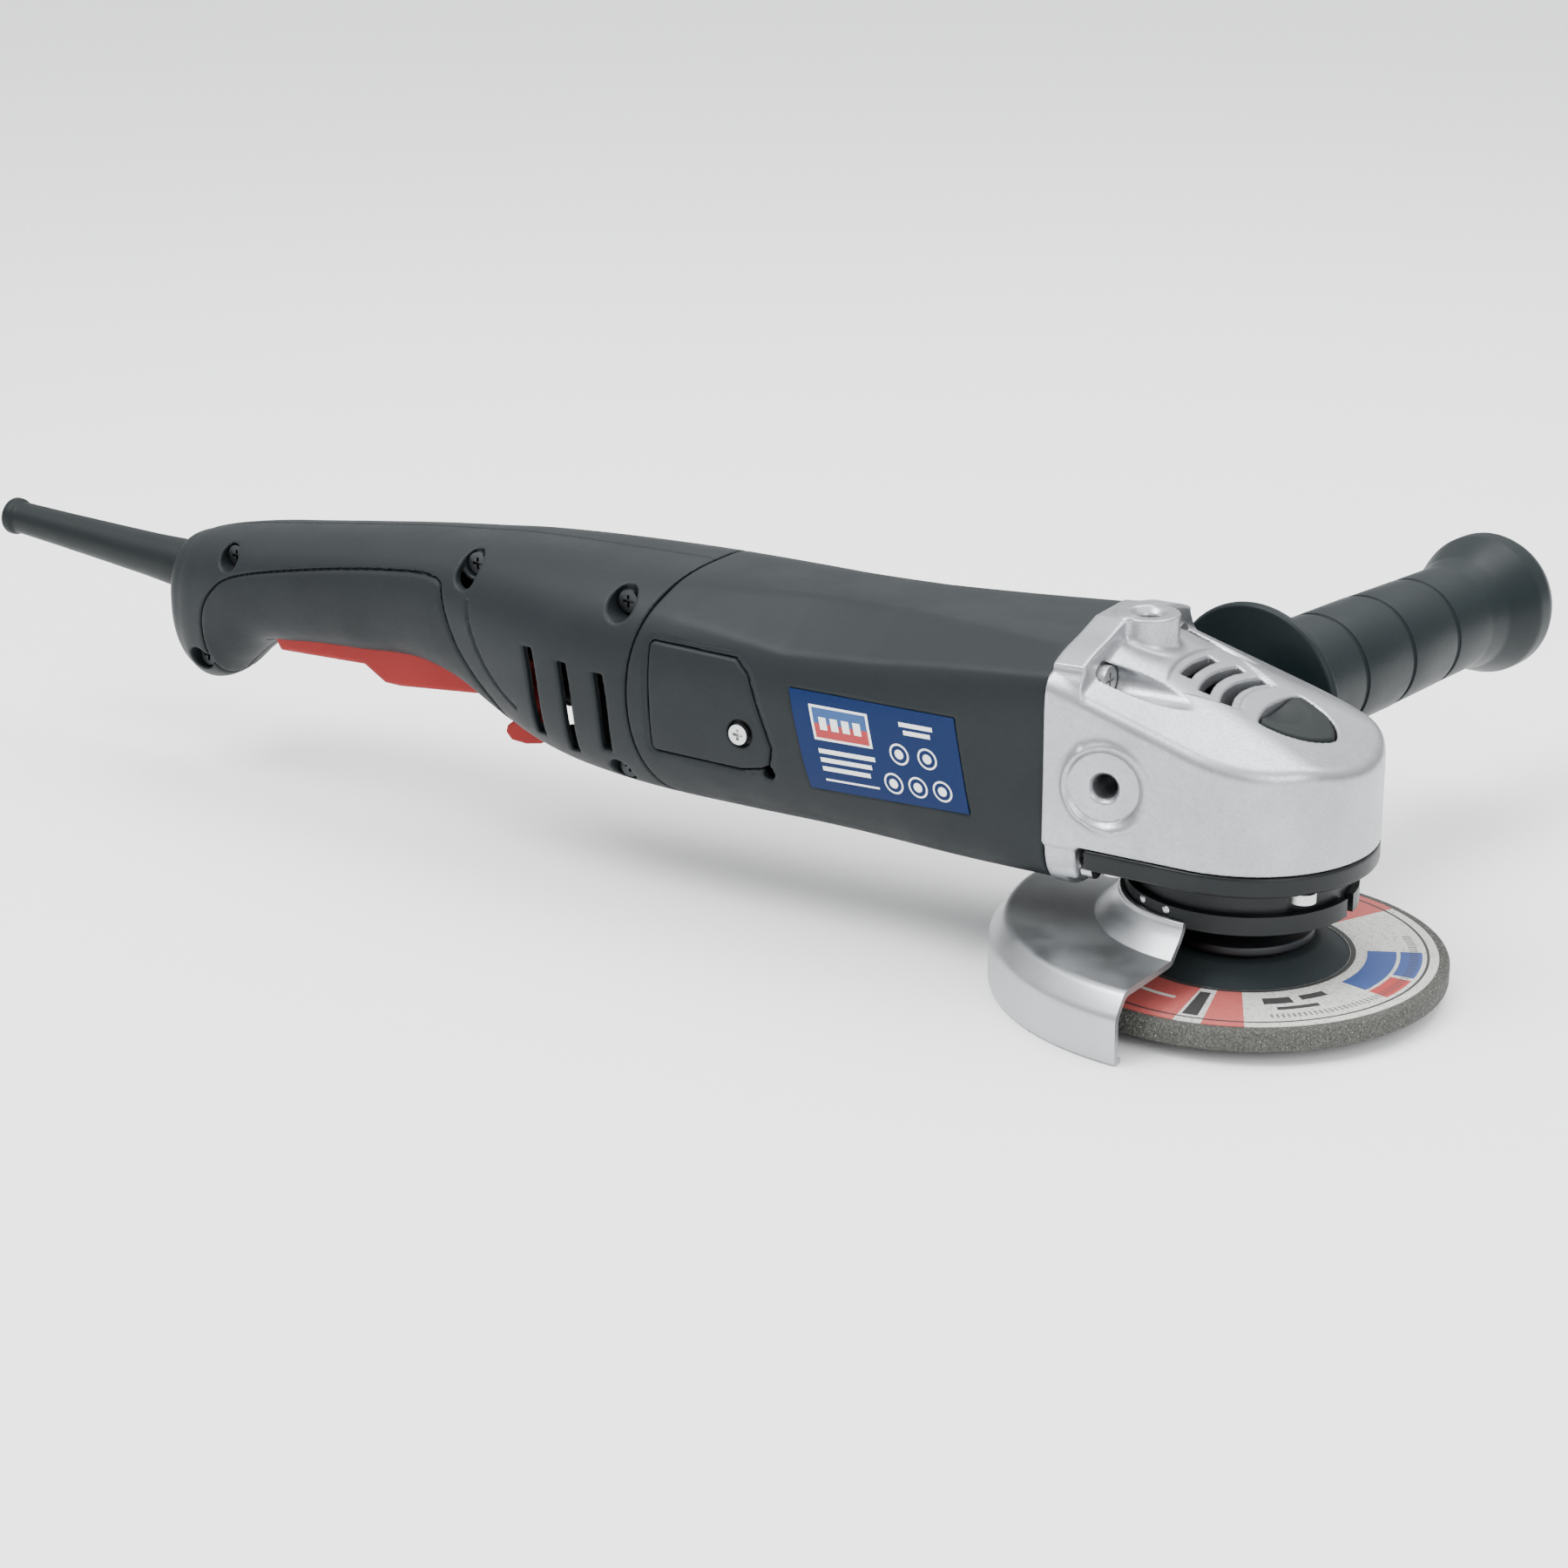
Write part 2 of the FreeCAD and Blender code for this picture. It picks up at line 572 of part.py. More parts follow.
def guard_band():
    """Split band round the bearing cover's neck; the guard's collar is welded to it."""
    band = tube(BAND_R, COVER_NECK_R + 0.25, 5.2, (0, 0, 22.6))
    return band.cut(box((20, -2.0, 20), (45, 2.0, 30)))


def guard_rivets():
    """Four low rivet heads on the band, above the collar."""
    out = []
    for angle in (105, 122, 238, 255):
        dome = Part.makeSphere(1.5, V(BAND_R - 0.9, 0, 26.3))
        dome = dome.cut(cyl(BAND_R, 10, (0, 0, 20)))
        out.append(turned(dome, angle))
    return out


# ---- motor housing ----
def name_plate_solid(skin, skin_in):
    region = prism_xz(NAME_PLATE, -60, 0)
    return biggest(skin.common(region).cut(skin_in))


def brush_doors(skin, skin_core):
    """Right and left brush access doors, cut from the housing wall."""
    out = []
    for side in (-1, 1):
        low, high = (-60, 0) if side < 0 else (0, 60)
        region = prism_xz(BRUSH_DOOR, low, high)
        out.append(biggest(skin.common(region).cut(skin_core)))
    return out


def motor_housing(skin, core, plate, doors):
    shell = skin.common(seam_tool()).cut(core)
    ring = box((-49.0, -40, 0), (-45.0, 40, 130))
    wall = box((-176.5, -40, 0), (-168.0, 40, 130))
    posts = [cyl(4.4, 22, (-65.0, y, z), (1, 0, 0)) for y, z in GEAR_SCREW_SPOTS]
    webs = group([ring, wall] + posts).common(skin).common(seam_tool())
    shell = shell.fuse(webs.Solids)
    bores = [
        cyl(BEARING_PLATE_R, 8, (-50.0, 0, MOTOR_Z), (1, 0, 0)),
        cyl(11.0, 7.6, (-176.0, 0, MOTOR_Z), (1, 0, 0)),
        cyl(FAN_R + 0.6, FAN_BORE_LENGTH, (FAN_BORE_X, 0, MOTOR_Z), (1, 0, 0)),
        cyl(5.0, 20, (-180.0, 0, MOTOR_Z), (1, 0, 0)),
        cyl(STATOR_R + 0.02, 62, (-128.0, 0, MOTOR_Z), (1, 0, 0)),
    ]
    for y, z in GEAR_SCREW_SPOTS:
        bores.append(cyl(2.0, 14, (-57.0, y, z), (1, 0, 0)))
    for y in (-20, 20):
        for z in (MOTOR_Z - 14, MOTOR_Z + 14):
            bores.append(cyl(6.0, 12, (-178, y, z), (1, 0, 0)))
    return biggest(shell.cut(bores + [plate] + doors))


def bearing_plate():
    plate = cyl(BEARING_PLATE_R, 9, (-47.0, 0, MOTOR_Z), (1, 0, 0))
    plate = plate.cut(cyl(15.0, 9.5, (-47.5, 0, MOTOR_Z), (1, 0, 0)))
    for i in range(8):
        a = math.radians(22.5 + 45 * i)
        hole = cyl(3.4, 12, (-48, 22.5 * math.cos(a), MOTOR_Z + 22.5 * math.sin(a)), (1, 0, 0))
        plate = plate.cut(hole)
    return plate


def along_x(shapes, x):
    """Turn shapes built about +Z at the origin to lie about the motor axis at x."""
    turn = FreeCAD.Rotation(V(0, 0, 1), V(1, 0, 0))
    out = []
    for shape in shapes:
        copy = shape.copy()
        copy.Placement = FreeCAD.Placement(V(x, 0, MOTOR_Z), turn).multiply(copy.Placement)
        out.append(copy)
    return out


def armature_front_bearing():
    return group(along_x(ball_bearing(0, 9, 15.0, SHAFT_R + RUN, 8), -47.0))


def armature_rear_bearing():
    return group(along_x(ball_bearing(0, 7, 11.0, 4.0 + RUN, 7), -176.0))


def air_baffle():
    return revolve_x([(-65.0, 24.0), (-62.9, 26.6), (-62.9, 28.4), (-67.0, 28.4), (-67.0, 24.0)])


def stator_core():
    core = cyl(STATOR_R, STACK, (STATOR_X, 0, MOTOR_Z), (1, 0, 0))
    core = core.cut(cyl(CORE_R + 0.6, 52, (-123, 0, MOTOR_Z), (1, 0, 0)))
    for angle in (0, 180):
        slot = box((-123, -13, MOTOR_Z + 19.0), (-71, 13, MOTOR_Z + 26.0))
        core = core.cut(turned(slot, angle + 90, (0, 0, MOTOR_Z), (1, 0, 0)))
    return biggest(core)


def stator_windings():
    """Two field coils: a racetrack at each end, joined through the slots."""
    out = []
    for side in (-1, 1):
        run = box((-126, 19.6, MOTOR_Z - 12.4), (-68, 25.6, MOTOR_Z + 12.4))
        run = run.cut(box((-121.5, 18, MOTOR_Z - 5.0), (-72.5, 27, MOTOR_Z + 5.0)))
        run = run.makeFillet(1.8, [e for e in run.Edges if abs(e.BoundBox.YLength - 6.0) < 0.1][:4])
        out.append(run if side > 0 else mirrored(run))
    return out


def armature_shaft():
    shaft = revolve_x([
        (-178.0, 0), (-178.0, 3.5), (-177.5, 4.0), (-168.0, 4.0), (-168.0, SHAFT_R),
        (-30.0, SHAFT_R), (-30.0, 4.0), (-10.0, 4.0), (-9.5, 3.5), (-9.5, 0),
    ])
    return shaft


def armature_core():
    core = cyl(CORE_R, STACK, (STATOR_X, 0, MOTOR_Z), (1, 0, 0))
    core = core.cut(cyl(SHAFT_R, 52, (-123, 0, MOTOR_Z), (1, 0, 0)))
    for i in range(12):
        slot = box((-123, -1.1, MOTOR_Z + CORE_R - 4.5), (-71, 1.1, MOTOR_Z + CORE_R + 1))
        core = core.cut(turned(slot, 30 * i, (0, 0, MOTOR_Z), (1, 0, 0)))
    return core


def armature_windings():
    out = []
    for x, direction in ((-72.0, 1), (-122.0, -1)):
        shoulder, end = x + 4 * direction, x + 9 * direction
        out.append(revolve_x([(x, SHAFT_R), (x, 17.0), (shoulder, 16.0), (end, 12.0), (end, SHAFT_R)]))
    for i in range(12):
        bar = box((-122, -1.0, MOTOR_Z + 14.5), (-72, 1.0, MOTOR_Z + CORE_R - 1.2))
        out.append(turned(bar, 30 * i, (0, 0, MOTOR_Z), (1, 0, 0)))
    return [fuse(out)]


def commutator():
    drum = cyl(12.5, 15, (-158.5, 0, MOTOR_Z), (1, 0, 0))
    drum = drum.cut(cyl(SHAFT_R, 17, (-159.5, 0, MOTOR_Z), (1, 0, 0)))
    for i in range(24):
        slit = box((-157.5, -0.3, MOTOR_Z + 11.7), (-142.5, 0.3, MOTOR_Z + 13))
        drum = drum.cut(turned(slit, 15 * i, (0, 0, MOTOR_Z), (1, 0, 0)))
    collar = tube(10.5, SHAFT_R, 4, (-143.5, 0, MOTOR_Z), (1, 0, 0))
    return drum.fuse(collar).removeSplitter()


def cooling_fan():
    hub = revolve_x([
        (-62.0, SHAFT_R), (-62.0, 9.0), (-59.5, FAN_R), (-58.0, FAN_R), (-59.0, 9.5),
        (-51.0, 8.5), (-51.0, SHAFT_R),
    ])
    fan = hub
    for i in range(11):
        blade = box((-59.4, -0.8, MOTOR_Z + 8.5), (-51.5, 0.8, MOTOR_Z + 28.4))
        blade = turned(blade, 22, (-56, 0, MOTOR_Z + 18), (0, 0, 1))
        fan = fan.fuse(turned(blade, i * 360.0 / 11, (0, 0, MOTOR_Z), (1, 0, 0)))
    fan = fan.common(tube(FAN_R, SHAFT_R, 12, (-62.0, 0, MOTOR_Z), (1, 0, 0)))
    return biggest(fan)


def pinion_nut():
    pts = [(5.6 * math.cos(math.radians(60 * i)), 5.6 * math.sin(math.radians(60 * i))) for i in range(6)]
    ring = [V(-14.6, y, MOTOR_Z + z) for y, z in pts]
    hexagon = Part.Face(Part.makePolygon(ring + [ring[0]])).extrude(V(4.2, 0, 0))
    return hexagon.cut(cyl(4.0, 10, (-18, 0, MOTOR_Z), (1, 0, 0)))


# ---- brush gear ----
def brush_parts(side):
    """Brush, holder and spring on one side, side +1 or -1."""
    x = BRUSH_X
    brush = box((x - 3.2, 12.9, MOTOR_Z - 5.0), (x + 3.2, 24.5, MOTOR_Z + 5.0))
    holder = box((x - 5.0, 15.0, MOTOR_Z - 6.8), (x + 5.0, 31.5, MOTOR_Z + 6.8))
    holder = holder.cut(box((x - 3.5, 10, MOTOR_Z - 5.3), (x + 3.5, 40, MOTOR_Z + 5.3)))
    flange = box((x - 8.0, 16.0, MOTOR_Z - 9.0), (x + 8.0, 18.0, MOTOR_Z + 9.0))
    flange = flange.cut(box((x - 5.0, 10, MOTOR_Z - 6.8), (x + 5.0, 40, MOTOR_Z + 6.8)))
    holder = holder.fuse(flange).removeSplitter()
    spring = helix_spring(2.6, 0.45, 5.4, 3, (x, 30.7, MOTOR_Z), (0, -1, 0))
    if side < 0:
        return [mirrored(p) for p in (brush, holder, spring)]
    return [brush, holder, spring]


def helix_spring(radius, wire_r, height, turns, at, axis):
    """Round-wire coil spring standing on a point along an axis."""
    path = Part.makeHelix(height / turns, height, radius)
    start = Part.Wire([Part.makeCircle(wire_r, V(radius, 0, 0), V(0, 1, 0))])
    coil = Part.Wire(path.Edges).makePipeShell([start], True, True)
    turn = FreeCAD.Rotation(V(0, 0, 1), V(*axis))
    coil.Placement = FreeCAD.Placement(V(*at), turn)
    return coil


# ---- rear handle ----
def grip_inlays(skin, skin_soft):
    """Soft inlays over the lower part of each handle shell."""
    out = []
    layer = skin.common(prism_xz(GRIP_LINE, -60, 60)).cut(skin_soft)
    layer = layer.cut(paddle_slot(0))
    for low, high in ((-60, 0), (0, 60)):
        out.append(biggest(layer.common(box((-400, low, 0), (-200, high, 130)))))
    return out


def paddle_slot(grow):
    return box((-337.5, -SLOT_HALF - grow, 0), (-225.0, SLOT_HALF + grow, 56.5))


def handle_shell(side, skin, core, inlay):
    """One handle half, side +1 or -1, with its screw posts and pivot bosses."""
    low, high = (-60, 0) if side < 0 else (0, 60)
    half = box((-400, low, 0), (-150, high, 130)).cut(seam_tool())
    inside = skin.common(half)
    px, pz = PADDLE_PIVOT
    blocks = [cyl(POST_R, 80, (x, -40, z), (0, 1, 0)) for x, z in HANDLE_SCREW_SPOTS]
    blocks.append(box((px - 5, -14, pz - 6), (px + 5, 14, pz + 5)))
    blocks.append(box((-362, -15, 50), (-352, 15, 54)))
    shell = inside.cut(core).fuse([b.common(inside) for b in blocks])
    tools = [cyl(2.0 + RUN, 26, (px, -13, pz), (0, 1, 0)), paddle_slot(0), strain_tool(9.4), inlay]
    for x, z in HANDLE_SCREW_SPOTS:
        tools.append(cyl(SHELL_SCREW_R, 80, (x, -34, z), (0, 1, 0)))
        if side < 0:
            head_y = -handle_half(x, z) + SCREW_DEPTH
            tools.append(cyl(3.9, 40, (x, head_y, z), (0, -1, 0)))
    for x in VENT_XS:
        outline = [(x - 1.2, 65.0), (x + 1.4, 65.0), (x + 3.2, 39.0), (x + 0.6, 39.0)]
        y_low, y_high = (-60, -20) if side < 0 else (20, 60)
        tools.append(prism_xz(outline, y_low, y_high))
    return biggest(shell.cut(tools))


def handle_half(x, z):
    """Half width of the body skin at a station and height."""
    rows = sorted(SECTIONS)
    for a, b in zip(rows, rows[1:]):
        if a[0] <= x <= b[0]:
            t = (x - a[0]) / (b[0] - a[0])
            top, bottom, half = [a[i] + (b[i] - a[i]) * t for i in (1, 2, 3)]
            mid, rise = (top + bottom) / 2, (top - bottom) / 2
            power = power_at(x)
            return half * (1 - (abs(z - mid) / rise) ** power) ** (1 / power)
    raise ValueError("station outside the body")


def handle_screws():
    out = []
    for x, z in HANDLE_SCREW_SPOTS:
        y = handle_half(x, z)
        out.append(screw(3.4, 2.4, 1.75, y + 6, (x, -y + SCREW_DEPTH, z), (0, -1, 0)))
    return out


# ---- cord sleeve and clamp ----
def sleeve_frame():
    """Placement whose +Z runs along the sleeve from the handle to its tip."""
    (x0, z0), (x1, z1) = SLEEVE_FROM, SLEEVE_TIP
    turn = FreeCAD.Rotation(V(0, 0, 1), V(x1 - x0, 0, z1 - z0))
    return FreeCAD.Placement(V(x0, 0, z0), turn), math.hypot(x1 - x0, z1 - z0)


def strain_tool(r):
    place, _ = sleeve_frame()
    tool = cyl(r, 40, (0, 0, 0))
    tool.Placement = place
    return tool


def strain_relief():
    place, length = sleeve_frame()
    body = revolve_z([
        (CORD_R, 0), (9.3, 0), (9.3, 3.0), (8.3, 4.0), (8.3, 12.0), (7.6, 24.0), (5.4, length - 7.0),
        (5.3, length - 4.5), (6.2, length - 3.0), (6.2, length - 0.8), (5.6, length), (CORD_R, length),
    ])
    body.Placement = place
    return body


def cord_clamp():
    bar = box((-359.5, -11, 54.0), (-354.5, 11, 57.0))
    for y in (-8, 8):
        bar = bar.cut(cyl(1.7, 10, (-357, y, 50)))
    return bar


def cord_clamp_screws():
    return [screw(2.8, 2.0, 1.5, 6.5, (-357, y, 57.0), (0, 0, 1)) for y in (-8, 8)]


# ---- switch, paddle and lock lever ----
def switch_body():
    case = box((-304, -9.5, 60), (-258, 9.5, 77))
    case = case.makeFillet(1.0, [e for e in case.Edges if e.BoundBox.ZLength > 5])
    case = case.cut(box((-284.6, -3.2, 59), (-277.4, 3.2, 70)))
    tags = [box((x, -2, 77), (x + 0.8, 2, 80.2)) for x in (-298, -290, -272, -264)]
    return fuse([case] + tags)


def switch_plunger():
    return box((-284.2, -2.8, 53.6), (-277.8, 2.8, 64.0))


def paddle():
    """Channel-shaped switch paddle, open at the top, pivoting at its rear end."""
    px, pz = PADDLE_PIVOT
    body = prism_xz(PADDLE_OUTLINE, -PADDLE_HALF, PADDLE_HALF)
    hollow = prism_xz([(-324.0, 60.0), (-324.0, 43.6), (-298.2, 44.0), (-290.2, 39.2), (-285.0, 39.0),
                       (-258.0, 41.4), (-256.0, 60.0)], -PADDLE_HALF + 1.8, PADDLE_HALF - 1.8)
    mouth = box((-256.2, -5.6, 20), (-230, 5.6, 70))
    body = body.cut(hollow).cut(mouth)
    body = body.fuse(box((-283.5, -2.4, 38.6), (-278.5, 2.4, 53.3)))
    body = body.cut(cyl(2.0 + RUN, 40, (px, -20, pz), (0, 1, 0)))
    lx, lz = LEVER_PIVOT
    body = body.cut(cyl(1.5, 40, (lx, -20, lz), (0, 1, 0)))
    return biggest(body.removeSplitter())


def paddle_pin():
    px, pz = PADDLE_PIVOT
    return cyl(2.0, 23.6, (px, -11.8, pz), (0, 1, 0))


def lever_pin():
    lx, lz = LEVER_PIVOT
    return cyl(1.5, 17.0, (lx, -8.5, lz), (0, 1, 0))


def lock_lever():
    lx, lz = LEVER_PIVOT
    outline = [(-247.0, 43.0), (-244.6, 45.6), (-241.2, 45.4), (-238.8, 42.6), (-236.8, 35.0), (-232.2, 31.0),
               (-231.2, 28.0), (-234.0, 25.6), (-239.5, 24.6), (-245.0, 25.0), (-247.2, 27.4), (-246.6, 29.6),
               (-243.6, 32.0), (-243.2, 36.0), (-245.6, 40.0)]
    lever = prism_xz(outline, -5.0, 5.0)
    lever = lever.cut(cyl(1.5 + RUN, 20, (lx, -10, lz), (0, 1, 0)))
    return lever


def paddle_spring():
    return helix_spring(3.2, 0.5, 13.0, 5, (-312.0, 0, 44.3), (0, 0, 1))


def lever_spring():
    """Small torsion coil on the lever's pin, beside the lever."""
    lx, lz = LEVER_PIVOT
    return tube(2.6, 1.75, 0.45, (lx, 5.08, lz), (0, 1, 0))


# ---- spindle lock ----
def slope_z(x):
    """Height of the head's top face at a station."""
    return HEAD_NOSE_TOP + (NOSE_R - x) * math.tan(math.radians(HEAD_SLOPE))


def lock_button():
    """Cap that follows the sloping top, standing a little proud of it."""
    slab = button_prism(0, 60.0, 100)
    top, low = 0.4, -CAP_T
    back, front = slope_z(-10), slope_z(50)
    band = [(-10, back + top), (50, front + top), (50, front + low), (-10, back + low)]
    return biggest(slab.common(prism_xz(band, -30, 30)))


def lock_pin():
    pin = cyl(PIN_R, 40, (PIN_X, 0, PIN_LOW))
    under = [(-10, 0), (-10, slope_z(-10) - CAP_T), (50, slope_z(50) - CAP_T), (50, 0)]
    return pin.common(prism_xz(under, -30, 30))


def lock_spring():
    return helix_spring(3.0, 0.35, 5.0, 3, (PIN_X, 0, 63.2), (0, 0, 1))


# ---- auxiliary handle ----
def on_handle_frame():
    turn = FreeCAD.Rotation(V(0, 0, 1), V(*handle_axis(1)))
    return FreeCAD.Placement(V(*on_handle(1, 0)), turn)


def side_handle_grip():
    body = revolve_z([
        (0, 8.0), (9.5, 8.0), (10.5, 14.0), (13.0, 17.0), (28.0, 18.0), (28.8, 19.0), (28.8, 20.4),
        (27.6, 21.4),
        (19.0, 24.0), (18.0, 28.0), (17.9, 50.0), (17.4, 80.0), (16.6, 112.0), (16.6, 124.0), (17.6, 132.0),
        (20.2, 139.0), (21.9, 144.0), (21.9, 150.0), (19.6, 154.6), (14.0, 157.2), (0, 158.0),
    ])
    body = body.cut(cyl(M8_R, 26, (0, 0, 7)))
    for u in (52.0, 78.0, 104.0):
        body = body.cut(tube(22, 17.9 - (u - 50) * 0.02 - 0.7, 1.0, (0, 0, u)))
    body.Placement = on_handle_frame()
    return body


def side_handle_stud():
    stud = cyl(M8_R, 46.0, (0, 0, -13.0))
    stud.Placement = on_handle_frame()
    return stud


def spindle_group():
    save("spindle", spindle())
    save("ring_gear", ring_gear())
    save("inner_flange", inner_flange())
    save("grinding_disc", grinding_disc())
    save("disc_label", disc_label())
    save("disc_bushing", disc_bushing())
    save("lock_nut", lock_nut())


def motor_group():
    save("bearing_plate", bearing_plate())
    save("armature_front_bearing", armature_front_bearing())
    save("armature_rear_bearing", armature_rear_bearing())
    save("air_baffle", air_baffle())
    save("stator_core", stator_core())
    save("stator_windings", group(stator_windings()))
    save("armature_shaft", armature_shaft())
    save("armature_core", armature_core())
    save("armature_windings", group(armature_windings()))
    save("commutator", commutator())
    save("cooling_fan", cooling_fan())
    save("pinion", pinion())
    save("pinion_nut", pinion_nut())
    right, left = brush_parts(-1), brush_parts(1)
    save("carbon_brush_right", right[0])
    save("carbon_brush_left", left[0])
    save("brush_holders", group([right[1], left[1]]))
    save("brush_springs", group([right[2], left[2]]))


def head_group():
    save("gear_case", gear_case())
    save("gear_case_screws", group(gear_case_screws()))
    save("bearing_cover", bearing_cover())
    save("bearing_cover_screws", group(bearing_cover_screws()))
    save("dust_ring", dust_ring())
    save("lower_spindle_bearing", lower_spindle_bearing())
    save("upper_spindle_bearing", upper_spindle_bearing())
    save("lock_button", lock_button())
    save("lock_pin", lock_pin())
    save("lock_spring", lock_spring())
    save("guard", guard())
    save("guard_band", guard_band())
    save("guard_rivets", group(guard_rivets()))
    save("side_handle_grip", side_handle_grip())
    save("side_handle_stud", side_handle_stud())


def door_screws():
    x, z = DOOR_SCREW
    right = screw(3.0, 1.6, 1.4, 7.0, (x, 0.6 - handle_half(x, z), z), (0, -1, 0))
    return [right, mirrored(right)]


def drilled_doors(doors):
    """The doors with a seat for each screw head and the hole of its shank."""
    x, z = DOOR_SCREW
    seated = [d.cut(cyl(3.2, 70, (x, s * 35.0, z), (0, s, 0))) for d, s in zip(doors, (-1, 1))]
    return [d.cut(cyl(1.4, 90, (x, -45, z), (0, 1, 0))) for d in seated]


def housing_group():
    skin = body_form("housing")
    core = body_form("housing", BODY_WALL, 3.0)
    skin_plate = body_form("housing", 0.4, 1.0)
    plate = name_plate_solid(skin, skin_plate)
    doors = brush_doors(skin, core)
    doors = drilled_doors(doors)
    save("name_plate", plate)
    save("brush_door_right", doors[0])
    save("brush_door_left", doors[1])
    save("brush_door_screws", group(door_screws()))
    save("motor_housing", motor_housing(skin, core, plate, doors))


def handle_group():
    skin = body_form("handle")
    core = body_form("handle", BODY_WALL, 0.0, 4.0)
    inlays = grip_inlays(skin, body_form("handle", 1.2, 0.0, 1.2))
    save("grip_inlay_right", inlays[0])
    save("grip_inlay_left", inlays[1])
    save("handle_shell_right", handle_shell(-1, skin, core, inlays[0]))
    save("handle_shell_left", handle_shell(1, skin, core, inlays[1]))
    save("handle_screws", group(handle_screws()))
    save("strain_relief", strain_relief())
    save("cord_clamp", cord_clamp())
    save("cord_clamp_screws", group(cord_clamp_screws()))


def switch_group():
    save("switch_body", switch_body())
    save("switch_plunger", switch_plunger())
    save("paddle", paddle())
    save("paddle_pin", paddle_pin())
    save("paddle_spring", paddle_spring())
    save("lock_lever", lock_lever())
    save("lever_pin", lever_pin())
    save("lever_spring", lever_spring())


os.makedirs("parts", exist_ok=True)
spindle_group()
motor_group()
head_group()
housing_group()
handle_group()
switch_group()
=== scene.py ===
import math

import bmesh
import bpy
import mathutils
import numpy as np
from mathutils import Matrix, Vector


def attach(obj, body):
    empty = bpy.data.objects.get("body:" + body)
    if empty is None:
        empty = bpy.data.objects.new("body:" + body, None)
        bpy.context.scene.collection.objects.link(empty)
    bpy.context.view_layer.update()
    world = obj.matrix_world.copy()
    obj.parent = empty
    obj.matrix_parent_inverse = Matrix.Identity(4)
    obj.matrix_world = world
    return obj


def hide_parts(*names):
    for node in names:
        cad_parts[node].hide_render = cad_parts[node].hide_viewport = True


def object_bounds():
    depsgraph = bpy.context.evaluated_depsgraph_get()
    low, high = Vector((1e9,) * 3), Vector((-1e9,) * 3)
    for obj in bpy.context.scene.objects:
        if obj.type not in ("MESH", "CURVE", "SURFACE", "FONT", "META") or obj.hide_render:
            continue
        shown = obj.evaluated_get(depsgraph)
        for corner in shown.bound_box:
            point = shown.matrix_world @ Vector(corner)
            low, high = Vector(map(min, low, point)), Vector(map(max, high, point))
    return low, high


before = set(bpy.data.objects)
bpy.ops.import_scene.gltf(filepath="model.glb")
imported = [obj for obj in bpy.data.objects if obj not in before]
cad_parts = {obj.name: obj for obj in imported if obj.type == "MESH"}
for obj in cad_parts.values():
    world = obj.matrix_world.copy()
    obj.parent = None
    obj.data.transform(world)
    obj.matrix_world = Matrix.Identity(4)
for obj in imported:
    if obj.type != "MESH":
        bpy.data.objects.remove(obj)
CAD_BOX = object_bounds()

import openvdb

MM = 0.001
FINE = 0.45
COARSE = 0.55
FACE_TARGET = 85000

# ---- dimensions (mm) ----
AXIS_Z = 58.0  # the motor's axis
NOSE_R = 37.0
HEAD_REAR = -43.0  # joint to the motor housing
HEAD_BOTTOM = 41.0
NOSE_TOP = 67.0
SLOPE = math.radians(20.0)  # of the head's roof
SEAM_C = (-116.0, 60.0)  # curved seam between housing and handle
SEAM_R = 64.0
HOLE_X = -25.5  # side handle's holes
HOLE_Z = 59.5
HOLE_R = 3.4
TILT = math.radians(10.0)
TOP_BOSS = 98.5
TOP_HOLE_X = -30.5
FACET_POINT = (4.2, 33.0, 73.8)  # any point of the facet
FACET_NORMAL = (0.267, 0.323, 0.908)
FLANGE_FORM = (36.8, 59.9, 34.5, 5.2)  # superellipse of the head's rear plate
VENT_CENTRE_X = 26.0
VENT_ARCS = ((30.0, 24), (36.0, 19), (42.0, 12))  # radius, half angle in degrees
LOCK_PIN_X = 12.2
WALL = 3.0  # of housing, handle and doors
SEAM_GAP = 0.18  # on each side of the seam
INLAY_BED = 1.2  # depth of the grip's recess
SCREW_DEPTH = 6.5  # of the handle's screw seats
WIDE_SEAT = 2
LONG_SEATS = (1, 4)
POST_R = 5.6
DOOR_POCKET = (-131.6, 43.9)  # dimple at the door's lower front corner
PADDLE_PIVOT = (-331.0, 50.5)
LEVER_PIVOT = (-243.0, 41.5)
GUARD_FROM = 87.0  # degrees about the spindle
GUARD_SWEEP = 180.0
CORD_R = 3.9
SECTIONS = [  # of the body: x, top z, bottom z, half width
    (-376.5, 66.5, 42.0, 9.5), (-373.0, 71.8, 33.0, 14.5), (-367.0, 74.8, 27.0, 17.6),
    (-359.0, 77.2, 27.0, 19.3), (-350.0, 79.0, 34.5, 20.2), (-340.0, 80.6, 42.0, 20.6),
    (-325.0, 82.5, 44.6, 20.8), (-300.0, 85.7, 46.3, 21.3), (-270.0, 89.2, 46.8, 22.8),
    (-254.0, 90.6, 42.5, 25.0), (-240.0, 91.8, 36.0, 28.0), (-226.0, 92.4, 30.2, 31.0),
    (-212.0, 92.7, 26.8, 33.5), (-195.0, 92.9, 24.8, 35.2), (-175.0, 93.0, 23.7, 36.0),
    (-150.0, 93.0, 23.4, 36.3), (-110.0, 93.0, 23.6, 36.3), (-75.0, 93.3, 24.3, 36.3),
    (-43.0, 93.8, 26.0, 36.2),
]
BRUSH_DOOR = [(-172.5, 76.8), (-143.0, 76.0), (-138.5, 72.0), (-130.3, 51.8), (-131.5, 45.5), (-141.0, 43.6),
              (-171.5, 44.2)]
DOOR_SCREW = (-140.5, 54.7)
NAME_PLATE = [(-124.3, 71.0), (-71.2, 71.2), (-65.9, 44.3), (-117.3, 42.4)]
